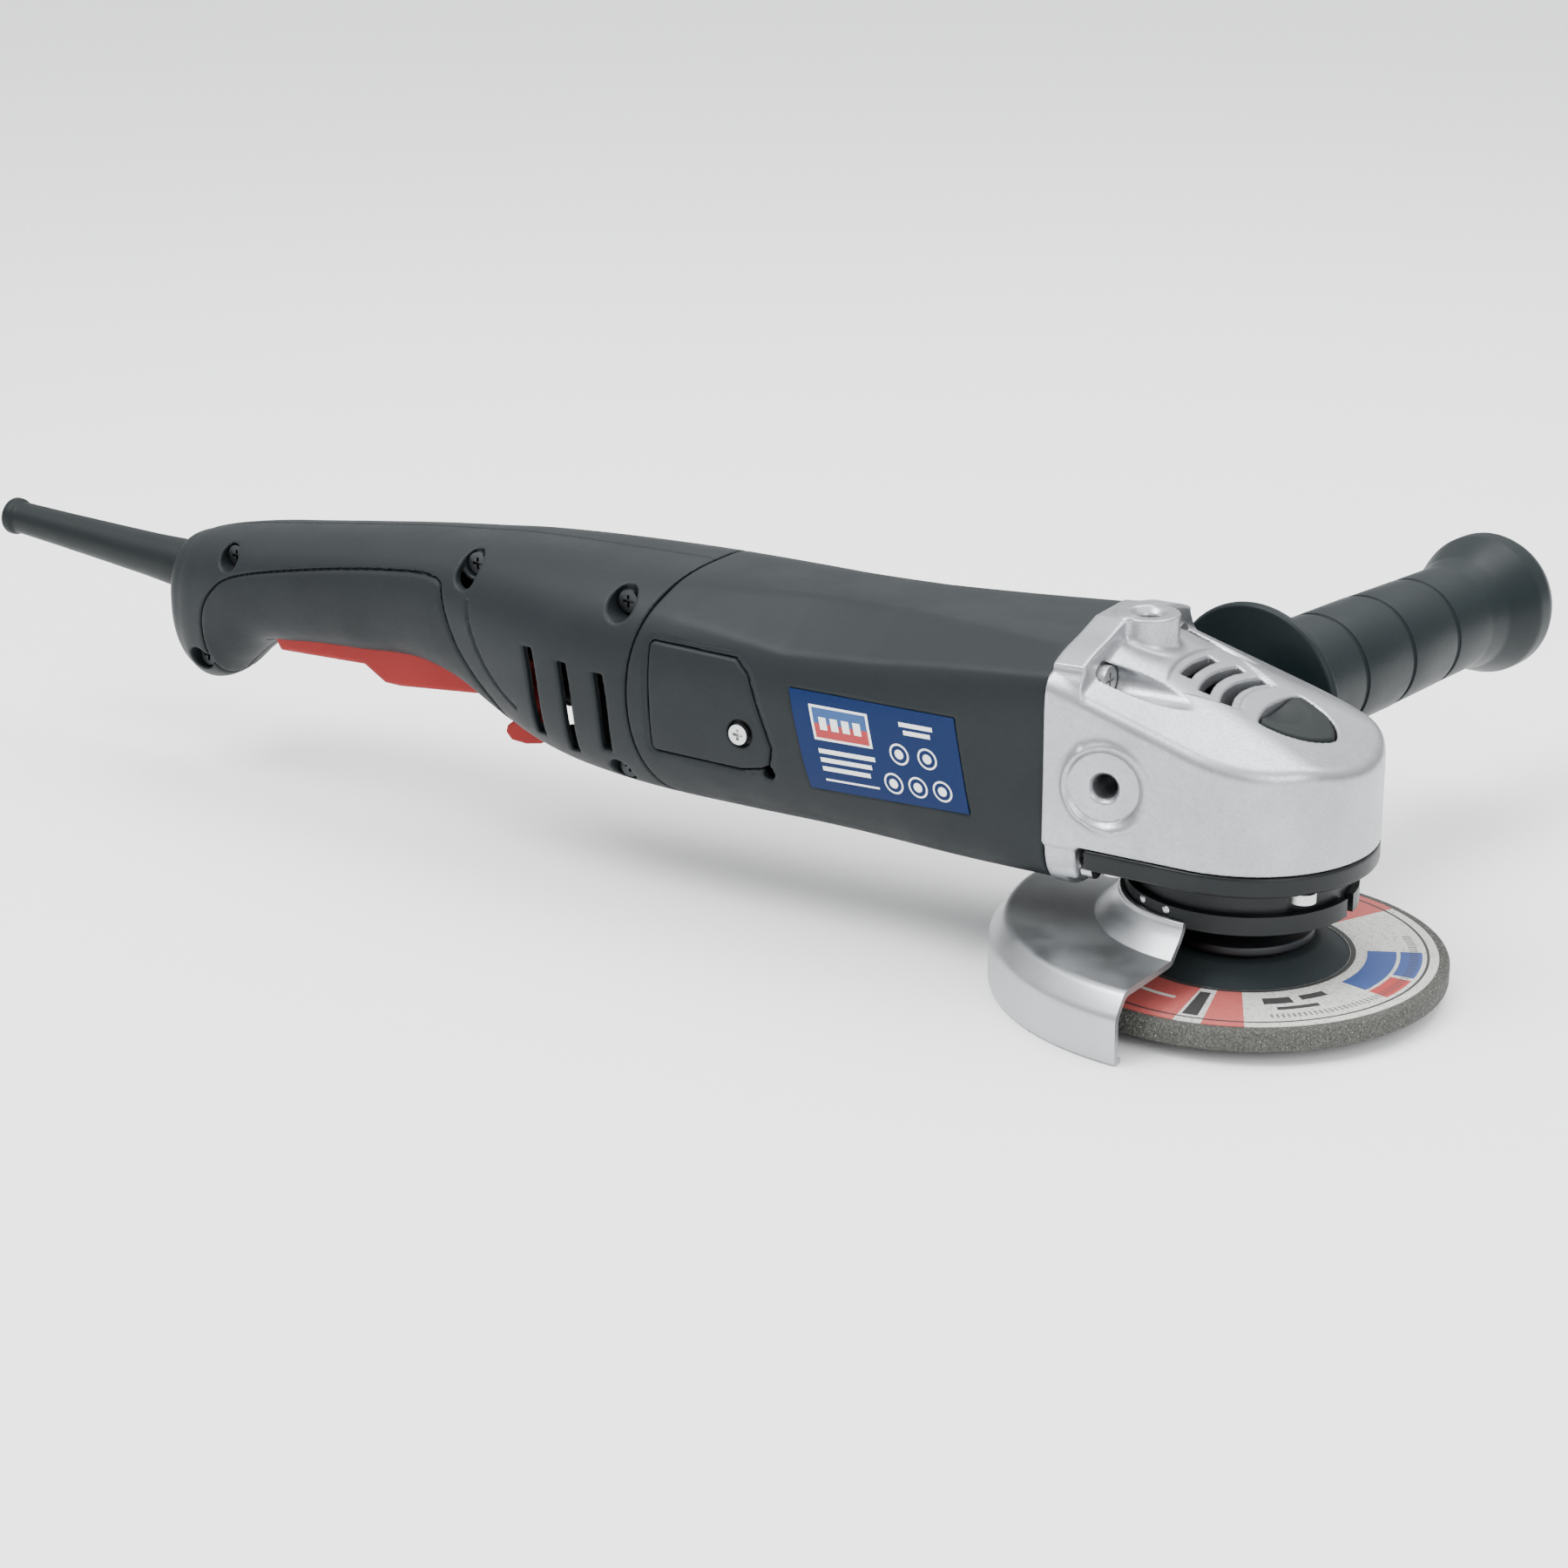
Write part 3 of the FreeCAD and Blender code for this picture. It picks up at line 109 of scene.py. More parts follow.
FILM_BARS = (  # v, first u and last u of each white bar
    (0.14, 0.66, 0.86), (0.22, 0.68, 0.84), (0.56, 0.12, 0.47), (0.65, 0.12, 0.44), (0.74, 0.12, 0.42),
)
FILM_RINGS = ((0.63, 0.48), (0.80, 0.48), (0.56, 0.80), (0.71, 0.80), (0.86, 0.80))
DOT_SIDES = 20
GRIP_LINE = [(-356.5, 15.0), (-357.0, 50.0), (-354.0, 58.5), (-346.0, 66.0), (-330.0, 70.5), (-294.0, 77.0),
             (-257.0, 81.2), (-254.5, 73.0), (-249.6, 62.0), (-242.0, 52.0), (-233.0, 42.0), (-229.0, 15.0)]
MOTOR_BORES = (  # radius and the two ends of each
    (30.5, -50, -41), (11.05, -176, -168), (5.2, -190, -168), (30.95, -128, -66), (29.3, -62.7, -49.5),
)
HANDLE_SCREWS = [(-345.0, 72.0), (-246.7, 84.5), (-186.0, 84.0), (-361.0, 36.0), (-187.0, 33.0)]
GEAR_SCREWS = [(-27.0, 33.5), (27.0, 33.5), (-22.5, 85.0), (22.5, 85.0)]
COVER_SCREWS = [(26.5, -20.0), (26.5, 20.0), (-25.5, -27.0), (-25.5, 27.0)]
PADDLE_OUTLINE = [
    (-336.0, 54.5), (-336.0, 46.0), (-333.0, 41.0), (-299.0, 41.8), (-291.0, 37.0), (-285.0, 36.8),
    (-253.0, 39.6), (-244.5, 34.6), (-238.8, 36.0), (-238.2, 46.5), (-248.0, 50.0), (-285.0, 51.0),
    (-325.0, 50.0), (-327.0, 54.5),
]
PADDLE_INSIDE = [
    (-324.0, 60.0), (-324.0, 43.6), (-298.2, 44.0), (-290.2, 39.2), (-285.0, 39.0), (-258.0, 41.4),
    (-256.0, 60.0),
]
LEVER_OUTLINE = [
    (-247.0, 43.0), (-244.6, 45.6), (-241.2, 45.4), (-238.8, 42.6), (-236.8, 35.0), (-232.2, 31.0),
    (-231.2, 28.0), (-234.0, 25.6), (-239.5, 24.6), (-245.0, 25.0), (-247.2, 27.4), (-246.6, 29.6),
    (-243.6, 32.0), (-243.2, 36.0), (-245.6, 40.0),
]
SLEEVE_FROM = (-365.0, 60.1)
SLEEVE_TIP = (-455.0, 67.3)
UP = (0, 0, 1)
ALONG = (1, 0, 0)
ACROSS = (0, 1, 0)
NEAR = (0, -1, 0)
SIDES = (("near", False, "right"), ("far", True, "left"))  # side, mirrored, node ending


# ---- materials ----
def linear(r, g, b):
    """Linear colour from an 8-bit display colour."""
    out = []
    for v in (r, g, b):
        v = v / 255.0
        out.append(v / 12.92 if v <= 0.04045 else ((v + 0.055) / 1.055) ** 2.4)
    return (*out, 1.0)


class Shader:
    """A Principled material with short helpers for adding procedural nodes."""

    def __init__(self, name):
        self.mat = bpy.data.materials.new(name)
        self.mat.use_nodes = True
        self.tree = self.mat.node_tree
        self.bsdf = self.tree.nodes["Principled BSDF"]
        self.coord = self.node("ShaderNodeTexCoord").outputs["Object"]
        self.normal = None

    def node(self, kind, values=None, **props):
        made = self.tree.nodes.new(kind)
        for key, value in props.items():
            setattr(made, key, value)
        for key, value in (values or {}).items():
            self.set(made.inputs[key], value)
        return made

    def set(self, socket, value):
        if isinstance(value, bpy.types.NodeSocket):
            self.tree.links.new(value, socket)
        else:
            socket.default_value = value

    def noise(self, scale, detail=3.0, rough=0.55, vector=None):
        values = {"Vector": vector or self.coord, "Scale": scale, "Detail": detail, "Roughness": rough}
        return self.node("ShaderNodeTexNoise", values).outputs["Fac"]

    def voronoi(self, scale):
        return self.node("ShaderNodeTexVoronoi", {"Vector": self.coord, "Scale": scale}).outputs["Distance"]

    def calc(self, operation, a, b=0.0, c=0.0):
        return self.node("ShaderNodeMath", {0: a, 1: b, 2: c}, operation=operation).outputs[0]

    def span(self, value, low, high, to_low=0.0, to_high=1.0):
        values = {"Value": value, "From Min": low, "From Max": high, "To Min": to_low, "To Max": to_high}
        return self.node("ShaderNodeMapRange", values).outputs["Result"]

    def mix(self, fac, a, b):
        made = self.node("ShaderNodeMix", data_type="RGBA")
        self.set(made.inputs[0], fac)
        self.set(made.inputs[6], a)
        self.set(made.inputs[7], b)
        return made.outputs[2]

    def bump(self, height, strength, distance):
        values = {"Height": height, "Strength": strength, "Distance": distance * MM}
        if self.normal is not None:
            values["Normal"] = self.normal
        self.normal = self.node("ShaderNodeBump", values).outputs["Normal"]

    def axes(self):
        parts = self.node("ShaderNodeSeparateXYZ", {0: self.coord})
        return parts.outputs[0], parts.outputs[1], parts.outputs[2]

    def finish(self, colour, rough, metallic=0.0, **extra):
        self.set(self.bsdf.inputs["Base Color"], colour)
        self.set(self.bsdf.inputs["Roughness"], rough)
        self.set(self.bsdf.inputs["Metallic"], metallic)
        for key, value in extra.items():
            self.set(self.bsdf.inputs[key.replace("_", " ")], value)
        if self.normal is not None:
            self.set(self.bsdf.inputs["Normal"], self.normal)
        return self.mat


def shade(colour, factor):
    return (colour[0] * factor, colour[1] * factor, colour[2] * factor, 1.0)


def moulded(name, colour, rough, grain=1100.0, depth=0.25, spread=0.12, specular=0.5):
    """Moulded plastic or rubber: fine spark-eroded grain and slight tone and gloss changes."""
    s = Shader(name)
    broad = s.noise(22.0, 4.0)
    fine = s.noise(grain, 2.0, 0.6)
    speck = s.voronoi(grain * 0.6)
    tone = s.mix(s.span(broad, 0.3, 0.7), shade(colour, 1 - spread), shade(colour, 1 + spread))
    tone = s.mix(s.span(fine, 0.35, 0.75, 0.0, 0.25), tone, shade(colour, 1.35))
    s.bump(fine, depth, 0.12)
    s.bump(speck, depth * 0.5, 0.08)
    gloss = s.span(s.noise(60.0, 5.0), 0.3, 0.7, rough - 0.05, rough + 0.06)
    return s.finish(tone, gloss, 0.0, Specular_IOR_Level=specular)


def metal(name, colour, rough, grain=400.0, depth=0.2, spread=0.08, metallic=1.0, stretch=None):
    """Bare metal with cloudy tone, fine pitting and, with stretch, drawn lines."""
    s = Shader(name)
    vector = s.coord
    if stretch:
        vector = s.node("ShaderNodeMapping", {"Vector": s.coord, "Scale": stretch}).outputs["Vector"]
    fine = s.noise(grain, 3.0, 0.6, vector)
    broad = s.noise(35.0, 5.0)
    tone = s.mix(s.span(broad, 0.3, 0.7), shade(colour, 1 - spread), shade(colour, 1 + spread))
    tone = s.mix(s.span(fine, 0.3, 0.7, 0.0, 0.2), tone, shade(colour, 0.75))
    s.bump(fine, depth, 0.1)
    gloss = s.span(s.noise(90.0, 4.0), 0.3, 0.7, rough - 0.05, rough + 0.07)
    return s.finish(tone, gloss, metallic)


def cast_metal(name):
    """Die-cast alloy, blasted: rolling texture, small pits and darker hollows."""
    s = Shader(name)
    base = linear(170, 172, 175)
    rolling = s.noise(160.0, 3.0)
    fine = s.noise(1100.0, 2.0, 0.6)
    pits = s.span(s.voronoi(420.0), 0.0, 0.16, 1.0, 0.0)
    tone = s.mix(s.span(s.noise(45.0, 5.0), 0.3, 0.7), shade(base, 0.82), shade(base, 1.08))
    tone = s.mix(s.span(fine, 0.3, 0.7, 0.0, 0.35), tone, shade(base, 0.72))
    tone = s.mix(s.calc("MULTIPLY", pits, 0.35), tone, shade(base, 0.45))
    s.bump(rolling, 0.14, 0.3)
    s.bump(fine, 0.4, 0.1)
    gloss = s.span(fine, 0.3, 0.7, 0.28, 0.44)
    return s.finish(tone, gloss, 0.9)


def grit(name):
    """Bonded abrasive: dark grains with a few bright ones."""
    s = Shader(name)
    cells = s.voronoi(900.0)
    fine = s.noise(1500.0, 3.0)
    base = linear(66, 66, 62)
    tone = s.mix(s.span(fine, 0.35, 0.7), shade(base, 0.45), shade(base, 1.5))
    spark = s.span(s.noise(2600.0, 1.0), 0.68, 0.74)
    tone = s.mix(spark, tone, linear(170, 170, 165))
    s.bump(cells, 0.8, 0.35)
    s.bump(fine, 0.5, 0.2)
    return s.finish(tone, 0.8, 0.0)


def disc_print(name):
    """Disc label: speckled paper with sectors, a dark rim band and plain blocks."""
    s = Shader(name)
    x, y, _ = s.axes()
    square = s.calc("ADD", s.calc("MULTIPLY", x, x), s.calc("MULTIPLY", y, y))
    radius = s.calc("MULTIPLY", s.calc("SQRT", square), 1000.0)
    angle = s.calc("MULTIPLY", s.calc("ARCTAN2", y, x), 180.0 / math.pi)

    def within(value, low, high):
        above = s.calc("GREATER_THAN", value, low)
        below = s.calc("LESS_THAN", value, high)
        return s.calc("MULTIPLY", above, below)

    paper = linear(196, 196, 190)
    speck = s.span(s.noise(1500.0, 2.0), 0.55, 0.62)
    tone = s.mix(s.calc("MULTIPLY", speck, 0.55), paper, linear(95, 95, 92))
    red, blue, dark = linear(168, 52, 48), linear(46, 70, 128), linear(48, 48, 48)
    for low, high in ((-128, -84), (-76, -64), (62, 106), (114, 126)):
        tone = s.mix(s.calc("MULTIPLY", within(angle, low, high), 0.9), tone, red)
    marks = (
        (-14, 26, 35, 43, blue), (-14, 2, 44, 50, red), (4, 26, 44, 50, blue), (-56, -44, 36, 40, dark),
        (-52, -36, 42, 44, dark), (-40, -28, 36, 39, dark), (-83, -78, 34, 50, dark),
        (-120, -90, 40, 41.5, paper),
    )
    for low, high, inner, outer, colour in marks:
        mark = s.calc("MULTIPLY", within(angle, low, high), within(radius, inner, outer))
        tone = s.mix(mark, tone, colour)
    bars = s.calc("GREATER_THAN", s.calc("FRACT", s.calc("MULTIPLY", angle, 0.55)), 0.5)
    lettering = s.calc("MULTIPLY", bars, within(radius, 46.5, 49.0))
    lettering = s.calc("MULTIPLY", lettering, within(angle, -56, 40))
    tone = s.mix(s.calc("MULTIPLY", lettering, 0.75), tone, dark)
    for inner, outer in ((51.2, 52.0), (30.5, 32.0)):
        tone = s.mix(within(radius, inner, outer), tone, dark)
    s.bump(s.noise(900.0, 3.0), 0.3, 0.12)
    return s.finish(tone, 0.62, 0.0)


def ink(name, colour):
    s = Shader(name)
    tone = s.mix(s.span(s.noise(500.0, 2.0), 0.3, 0.7, 0.0, 0.3), colour, shade(colour, 0.82))
    return s.finish(tone, 0.42, 0.0)


MATS = {
    "body": moulded("body_plastic", linear(22, 27, 29), 0.5, 1100.0, 0.22, 0.1, 0.2),
    "grip": moulded("soft_grip", linear(23, 27, 29), 0.58, 900.0, 0.4, 0.12, 0.18),
    "rubber": moulded("sleeve_rubber", linear(16, 22, 23), 0.52, 700.0, 0.3, 0.12, 0.2),
    "side_grip": moulded("side_grip_plastic", linear(13, 22, 24), 0.44, 1000.0, 0.2, 0.12, 0.2),
    "cover": moulded("cover_paint", linear(12, 16, 18), 0.38, 1200.0, 0.15, 0.1, 0.25),
    "red": moulded("red_plastic", linear(132, 22, 20), 0.46, 1000.0, 0.15, 0.06, 0.2),
    "cast": cast_metal("cast_alloy"),
    "zinc": metal("zinc_sheet", linear(176, 179, 181), 0.36, 1400.0, 0.06, 0.05, 0.95),
    "screw": metal("zinc_screw", linear(196, 197, 196), 0.28, 800.0, 0.25),
    "steel": metal("steel", linear(178, 178, 176), 0.28, 500.0, 0.2, 0.1),
    "dark_steel": metal("dark_steel", linear(62, 64, 66), 0.45, 500.0, 0.25, 0.12),
    "lamination": metal("laminations", linear(120, 122, 126), 0.45, 900.0, 0.5, 0.1, 0.9, (8.0, 1.0, 1.0)),
    "copper": metal("copper", linear(196, 116, 72), 0.34, 600.0, 0.5, 0.12, 1.0, (1.0, 6.0, 6.0)),
    "brass": metal("brass", linear(202, 170, 98), 0.32, 500.0, 0.2),
    "carbon": moulded("carbon", linear(40, 40, 42), 0.6, 700.0, 0.3),
    "abrasive": grit("abrasive"),
    "disc_print": disc_print("disc_label_print"),
    "film": moulded("film_label", linear(4, 28, 68), 0.4, 1500.0, 0.06, 0.05, 0.15),
    "white": ink("ink_white", linear(226, 228, 226)),
    "ink_red": ink("ink_red", linear(150, 20, 26)),
    "ink_blue": ink("ink_blue", linear(20, 66, 120)),
    "hub_paper": moulded("hub_paper", linear(36, 42, 44), 0.62, 900.0, 0.3, 0.12, 0.15),
}


# ---- sampled shapes: arrays of signed distance in mm, negative inside ----
class Grid:
    """Sample points of a box, spaced evenly."""

    def __init__(self, low, high, step):
        self.low = low
        self.step = step
        lines = []
        for a, b in zip(low, high):
            count = int(round((b - a) / step)) + 1
            lines.append((a + step * np.arange(count)).astype(np.float32))
        self.x = lines[0][:, None, None]
        self.y = lines[1][None, :, None]
        self.z = lines[2][None, None, :]


def union(a, b, k=0.0):
    if k <= 0:
        return np.minimum(a, b)
    h = np.clip(0.5 + 0.5 * (b - a) / k, 0.0, 1.0)
    return b + (a - b) * h - k * h * (1.0 - h)


def meet(a, b, k=0.0):
    return -union(-a, -b, k)


def cut(a, b, k=0.0):
    return meet(a, -b, k)


def cylinder(g, at, axis, radius, low, high, taper=0.0):
    """Round bar from low to high along an axis through a point; taper widens it outward."""
    unit = np.array(axis, float) / np.linalg.norm(axis)
    d = (g.x - at[0], g.y - at[1], g.z - at[2])
    u = sum(part * np.float32(w) for part, w in zip(d, unit) if abs(w) > 1e-9)
    if max(abs(unit)) > 0.999:
        side = [part for part, w in zip(d, unit) if abs(w) < 0.5]
        r = np.sqrt(side[0] ** 2 + side[1] ** 2)
    else:
        r = np.sqrt(np.maximum(d[0] ** 2 + d[1] ** 2 + d[2] ** 2 - u * u, 0.0))
    return np.maximum(r - (radius + taper * (u - low)), np.abs(u - (low + high) / 2) - (high - low) / 2)


def block(g, low, high):
    parts = []
    for axis, a, b in zip((g.x, g.y, g.z), low, high):
        parts.append(np.abs(axis - (a + b) / 2) - (b - a) / 2)
    return np.maximum(np.maximum(parts[0], parts[1]), parts[2])


def polygon(p, q, points):
    """Signed distance from a closed outline in one plane."""
    shape = np.broadcast(p, q).shape
    far = np.full(shape, 1e9, np.float32)
    sign = np.ones(shape, np.float32)
    for i, (ax, ay) in enumerate(points):
        bx, by = points[i - 1]
        ex, ey = bx - ax, by - ay
        wx, wy = p - ax, q - ay
        t = np.clip((wx * ex + wy * ey) / (ex * ex + ey * ey), 0.0, 1.0)
        far = np.minimum(far, (wx - ex * t) ** 2 + (wy - ey * t) ** 2)
        above, below = q >= ay, q < by
        left = ex * wy > ey * wx
        flip = (above & below & left) | (~above & ~below & ~left)
        sign = np.where(flip, -sign, sign)
    return sign * np.sqrt(far)


def rounded_polygon(p, q, points, radius):
    return polygon(p, q, inset_outline(points, radius)) - radius


def inset_outline(points, distance):
    """Outline moved inward by a distance, corners mitred."""
    area = sum(points[i - 1][0] * points[i][1] - points[i][0] * points[i - 1][1] for i in range(len(points)))
    turn = 1.0 if area > 0 else -1.0
    out = []
    for i, point in enumerate(points):
        before = mathutils.Vector(point) - mathutils.Vector(points[i - 1])
        after = mathutils.Vector(points[(i + 1) % len(points)]) - mathutils.Vector(point)
        n1 = mathutils.Vector((-before.y, before.x)).normalized() * turn
        n2 = mathutils.Vector((-after.y, after.x)).normalized() * turn
        mitre = n1 + n2
        mitre = mitre * (distance / max(0.35, 1.0 + n1.dot(n2)))
        out.append((point[0] + mitre.x, point[1] + mitre.y))
    return out


def arc_points(p, q, r, count):
    """Points on the circle through three points, from p by q to r."""
    ax, ay, bx, by, cx, cy = *p, *q, *r
    d = 2 * (ax * (by - cy) + bx * (cy - ay) + cx * (ay - by))
    sa, sb, sc = ax * ax + ay * ay, bx * bx + by * by, cx * cx + cy * cy
    ox = (sa * (by - cy) + sb * (cy - ay) + sc * (ay - by)) / d
    oy = (sa * (cx - bx) + sb * (ax - cx) + sc * (bx - ax)) / d
    a0, a1, a2 = (math.atan2(v[1] - oy, v[0] - ox) for v in (p, q, r))
    total = (a2 - a0) % (2 * math.pi)
    if (a1 - a0) % (2 * math.pi) > total:
        total -= 2 * math.pi
    radius = math.hypot(ax - ox, ay - oy)
    angles = [a0 + total * i / count for i in range(count)]
    return [(ox + radius * math.cos(a), oy + radius * math.sin(a)) for a in angles]


# ---- the body form ----
def table(x, column):
    """Smooth curve through one column of the sections."""
    xs = np.array([row[0] for row in SECTIONS])
    ys = np.array([row[column] for row in SECTIONS])
    slopes = np.gradient(ys, xs)
    i = np.clip(np.searchsorted(xs, x) - 1, 0, len(xs) - 2)
    width = xs[i + 1] - xs[i]
    t = (x - xs[i]) / width
    a, b = ys[i], ys[i + 1]
    ma, mb = slopes[i] * width, slopes[i + 1] * width
    held = a * (2 * t**3 - 3 * t**2 + 1) + ma * (t**3 - 2 * t**2 + t)
    return held + b * (3 * t**2 - 2 * t**3) + mb * (t**3 - t**2)


def form_at(x):
    """Middle height, half height, half width and exponent at stations x."""
    x = np.clip(x, SECTIONS[0][0], SECTIONS[-1][0])
    top, bottom, half = table(x, 1), table(x, 2), table(x, 3)
    grip, head = np.clip((-180.0 - x) / 90.0, 0.0, 1.0), np.clip((x + 130.0) / 87.0, 0.0, 1.0)
    power = 2.7 - 0.4 * grip + 2.5 * head**2
    return (top + bottom) / 2, (top - bottom) / 2, half, power


def superellipse(g, half, mid, rise, power):
    """Boxy oval in y and z that is 1 on its outline."""
    across = (np.abs(g.y) / half) ** power
    up = (np.abs(g.z - mid) / rise) ** power
    return (across + up + 1e-9) ** (1.0 / power)


def body_skin(g):
    """Signed distance from the body's outer form."""
    values = form_at(g.x[:, 0, 0].astype(float))
    mid, rise, half, power = (v.astype(np.float32)[:, None, None] for v in values)
    form = superellipse(g, half, mid, rise, power)
    grads = np.gradient(form, g.step)
    size = np.sqrt(grads[0] ** 2 + grads[1] ** 2 + grads[2] ** 2)
    return np.clip((form - 1.0) / np.maximum(size, 0.008), -12.0, 12.0)


def skin_y(x, z):
    """Half width of the body form at a station and height."""
    mid, rise, half, power = form_at(np.asarray(x, float))
    return half * np.maximum(1e-6, 1.0 - (np.abs(z - mid) / rise) ** power) ** (1.0 / power)


def skin_z(x, y):
    mid, rise, half, power = form_at(np.asarray(x, float))
    return mid + rise * np.maximum(1e-6, 1.0 - (np.abs(y) / half) ** power) ** (1.0 / power)


def shoulder(g):
    """Plane facet along each upper shoulder of the motor housing, twisting slowly."""
    x = g.x[:, 0, 0].astype(float)
    stations = [-185.0, -165.0, -128.0, -100.0, -75.0, -45.0]
    y_top = np.interp(x, stations, [24.0, 19.0, 14.0, 14.0, 18.0, 24.0])
    z_side = np.interp(x, stations, [87.0, 84.0, 80.0, 82.0, 85.0, 87.5])
    z_top, y_side = skin_z(x, y_top), skin_y(x, z_side)
    ny, nz = z_top - z_side, y_side - y_top
    size = np.hypot(ny, nz)
    values = (ny / size, nz / size, y_top, z_top)
    ny, nz, y_top, z_top = (v.astype(np.float32)[:, None, None] for v in values)
    return ny * (np.abs(g.y) - y_top) + nz * (g.z - z_top)


def ahead_of_seam(g):
    """Negative forward of the curved seam between housing and handle."""
    drum = np.sqrt((g.x - SEAM_C[0]) ** 2 + (g.z - SEAM_C[1]) ** 2) - SEAM_R
    return np.minimum(drum, SEAM_C[0] - g.x)


# ---- turning arrays and profiles into objects ----
def linked(name, data):
    obj = bpy.data.objects.new(name, data)
    bpy.context.scene.collection.objects.link(obj)
    return obj


def add_object(name, mesh, mats):
    for key in mats:
        mesh.materials.append(MATS[key])
    return linked(name, mesh)


def settle(obj):
    """Apply modifiers now, so that the stored mesh is the shown one."""
    graph = bpy.context.evaluated_depsgraph_get()
    mesh = bpy.data.meshes.new_from_object(obj.evaluated_get(graph))
    obj.modifiers.clear()
    old = obj.data
    obj.data = mesh
    bpy.data.meshes.remove(old)


def place(obj, body, nodes):
    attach(obj, body)
    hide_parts(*nodes)


def surface(name, g, field, mats, target=1.0, flip_y=False):
    """Mesh of a field's zero surface, thinned to a face budget."""
    shape = np.broadcast_shapes(g.x.shape, g.y.shape, g.z.shape)
    field = np.clip(np.broadcast_to(field, shape), -4 * g.step, 4 * g.step).astype(np.float32)
    field = np.ascontiguousarray(field)
    for axis in range(3):
        for end in (0, -1):
            edge = [slice(None)] * 3
            edge[axis] = end
            field[tuple(edge)] = g.step
    grid = openvdb.FloatGrid(4 * g.step)
    grid.copyFromArray(field)
    points, _, quads = grid.convertToPolygons(0.0, 0.0)
    points = (points * g.step + np.array(g.low)) * MM
    if flip_y:
        points = points * np.array([1.0, -1.0, 1.0])
        quads = quads[:, ::-1]
    mesh = bpy.data.meshes.new(name)
    mesh.vertices.add(len(points))
    mesh.vertices.foreach_set("co", points.astype(np.float32).ravel())
    mesh.loops.add(len(quads) * 4)
    mesh.loops.foreach_set("vertex_index", quads.astype(np.int32).ravel())
    mesh.polygons.add(len(quads))
    mesh.polygons.foreach_set("loop_start", (np.arange(len(quads)) * 4).astype(np.int32))
    mesh.update(calc_edges=True)
    mesh.shade_smooth()
    obj = add_object(name, mesh, mats)
    wanted = FACE_TARGET * target
    if len(quads) * 2 > wanted:
        thin = obj.modifiers.new("thin", "DECIMATE")
        thin.ratio = wanted / (len(quads) * 2)
        thin.use_collapse_triangulate = True
    settle(obj)
    weigh = obj.modifiers.new("weigh", "WEIGHTED_NORMAL")
    weigh.mode = "FACE_AREA"
    weigh.weight = 60
    settle(obj)
    return obj


def fillet(profile, radius, steps=4):
    """Closed outline with each corner rounded, as far as its sides allow."""
    out = []
    count = len(profile)
    for i in range(count):
        a, b, c = (mathutils.Vector(profile[j % count]) for j in (i - 1, i, i + 1))
        u, v = a - b, c - b
        reach = min(radius, 0.42 * u.length, 0.42 * v.length)
        if reach < 0.02 or abs(u.normalized().dot(v.normalized())) > 0.995:
            out.append(tuple(b))
            continue
        start, end = b + u.normalized() * reach, b + v.normalized() * reach
        for k in range(steps + 1):
            t = k / steps
            out.append(tuple(start * (1 - t) ** 2 + b * 2 * t * (1 - t) + end * t**2))
    return out


def lathe(name, profile, mats, radius=0.4, count=128, start=0.0, sweep=360.0, matrix=None, paint=None):
    """Solid of revolution of an (r, height) outline about Z, in mm, then placed by matrix."""
    outline = fillet(profile, radius)
    whole = sweep >= 359.9
    steps = count if whole else count + 1
    bm = bmesh.new()
    rings = []
    for i in range(steps):
        a = math.radians(start + sweep * i / count)
        ring = []
        for r, z in outline:
            ring.append(bm.verts.new((r * math.cos(a) * MM, r * math.sin(a) * MM, z * MM)))
        rings.append(ring)
    size = len(outline)
    for i in range(count):
        first, second = rings[i], rings[(i + 1) % steps]
        for j in range(size):
            k = (j + 1) % size
            face = bm.faces.new((first[j], first[k], second[k], second[j]))
            if paint:
                (r0, z0), (r1, z1) = outline[j], outline[k]
                face.material_index = paint((r0 + r1) / 2, (z0 + z1) / 2)
    if not whole:
        bm.faces.new(rings[0])
        bm.faces.new(rings[-1][::-1])
    bmesh.ops.remove_doubles(bm, verts=bm.verts, dist=1e-7)
    bmesh.ops.recalc_face_normals(bm, faces=bm.faces)
    mesh = bpy.data.meshes.new(name)
    bm.to_mesh(mesh)
    bm.free()
    if matrix is not None:
        mesh.transform(matrix)
    mesh.shade_smooth()
    mesh.set_sharp_from_angle(angle=math.radians(38))
    return add_object(name, mesh, mats)


# ---- gear head ----
def handle_axis(side):
    return (math.sin(TILT), side * math.cos(TILT), 0.0)


def handle_point(side):
    return (HOLE_X, side * 34.0, HOLE_Z)


def head_side(g):
    """Distance from the head's upright wall, a round nose with straight flanks."""
    flank = np.abs(g.y) - (NOSE_R + 0.014 * np.minimum(g.x, 0.0))
    nose = np.sqrt(g.x**2 + g.y**2) - NOSE_R
    return np.where(g.x > 0, nose, flank)


def slope_plane(g):
    return (g.x - NOSE_R) * math.sin(SLOPE) + (g.z - NOSE_TOP) * math.cos(SLOPE)


def button_outline(grow):
    rear, tip, half = 8.0 - grow, 25.0 + grow, 13.0 + grow
    out = arc_points((rear + 1, half), (rear - 1.5, 0), (rear + 1, -half), 10)
    out += arc_points((rear + 1, -half), (20 + grow, -8.6 - grow), (tip, 0), 10)
    out += arc_points((tip, 0), (20 + grow, 8.6 + grow), (rear + 1, half), 10)
    return out


def head_facet(g):
    """Plane facets that slope away from the head's roof on both sides."""
    n = np.array(FACET_NORMAL) / np.linalg.norm(FACET_NORMAL)
    x, y, z = FACET_POINT
    return (g.x - x) * n[0] + (np.abs(g.y) - y) * n[1] + (g.z - z) * n[2]


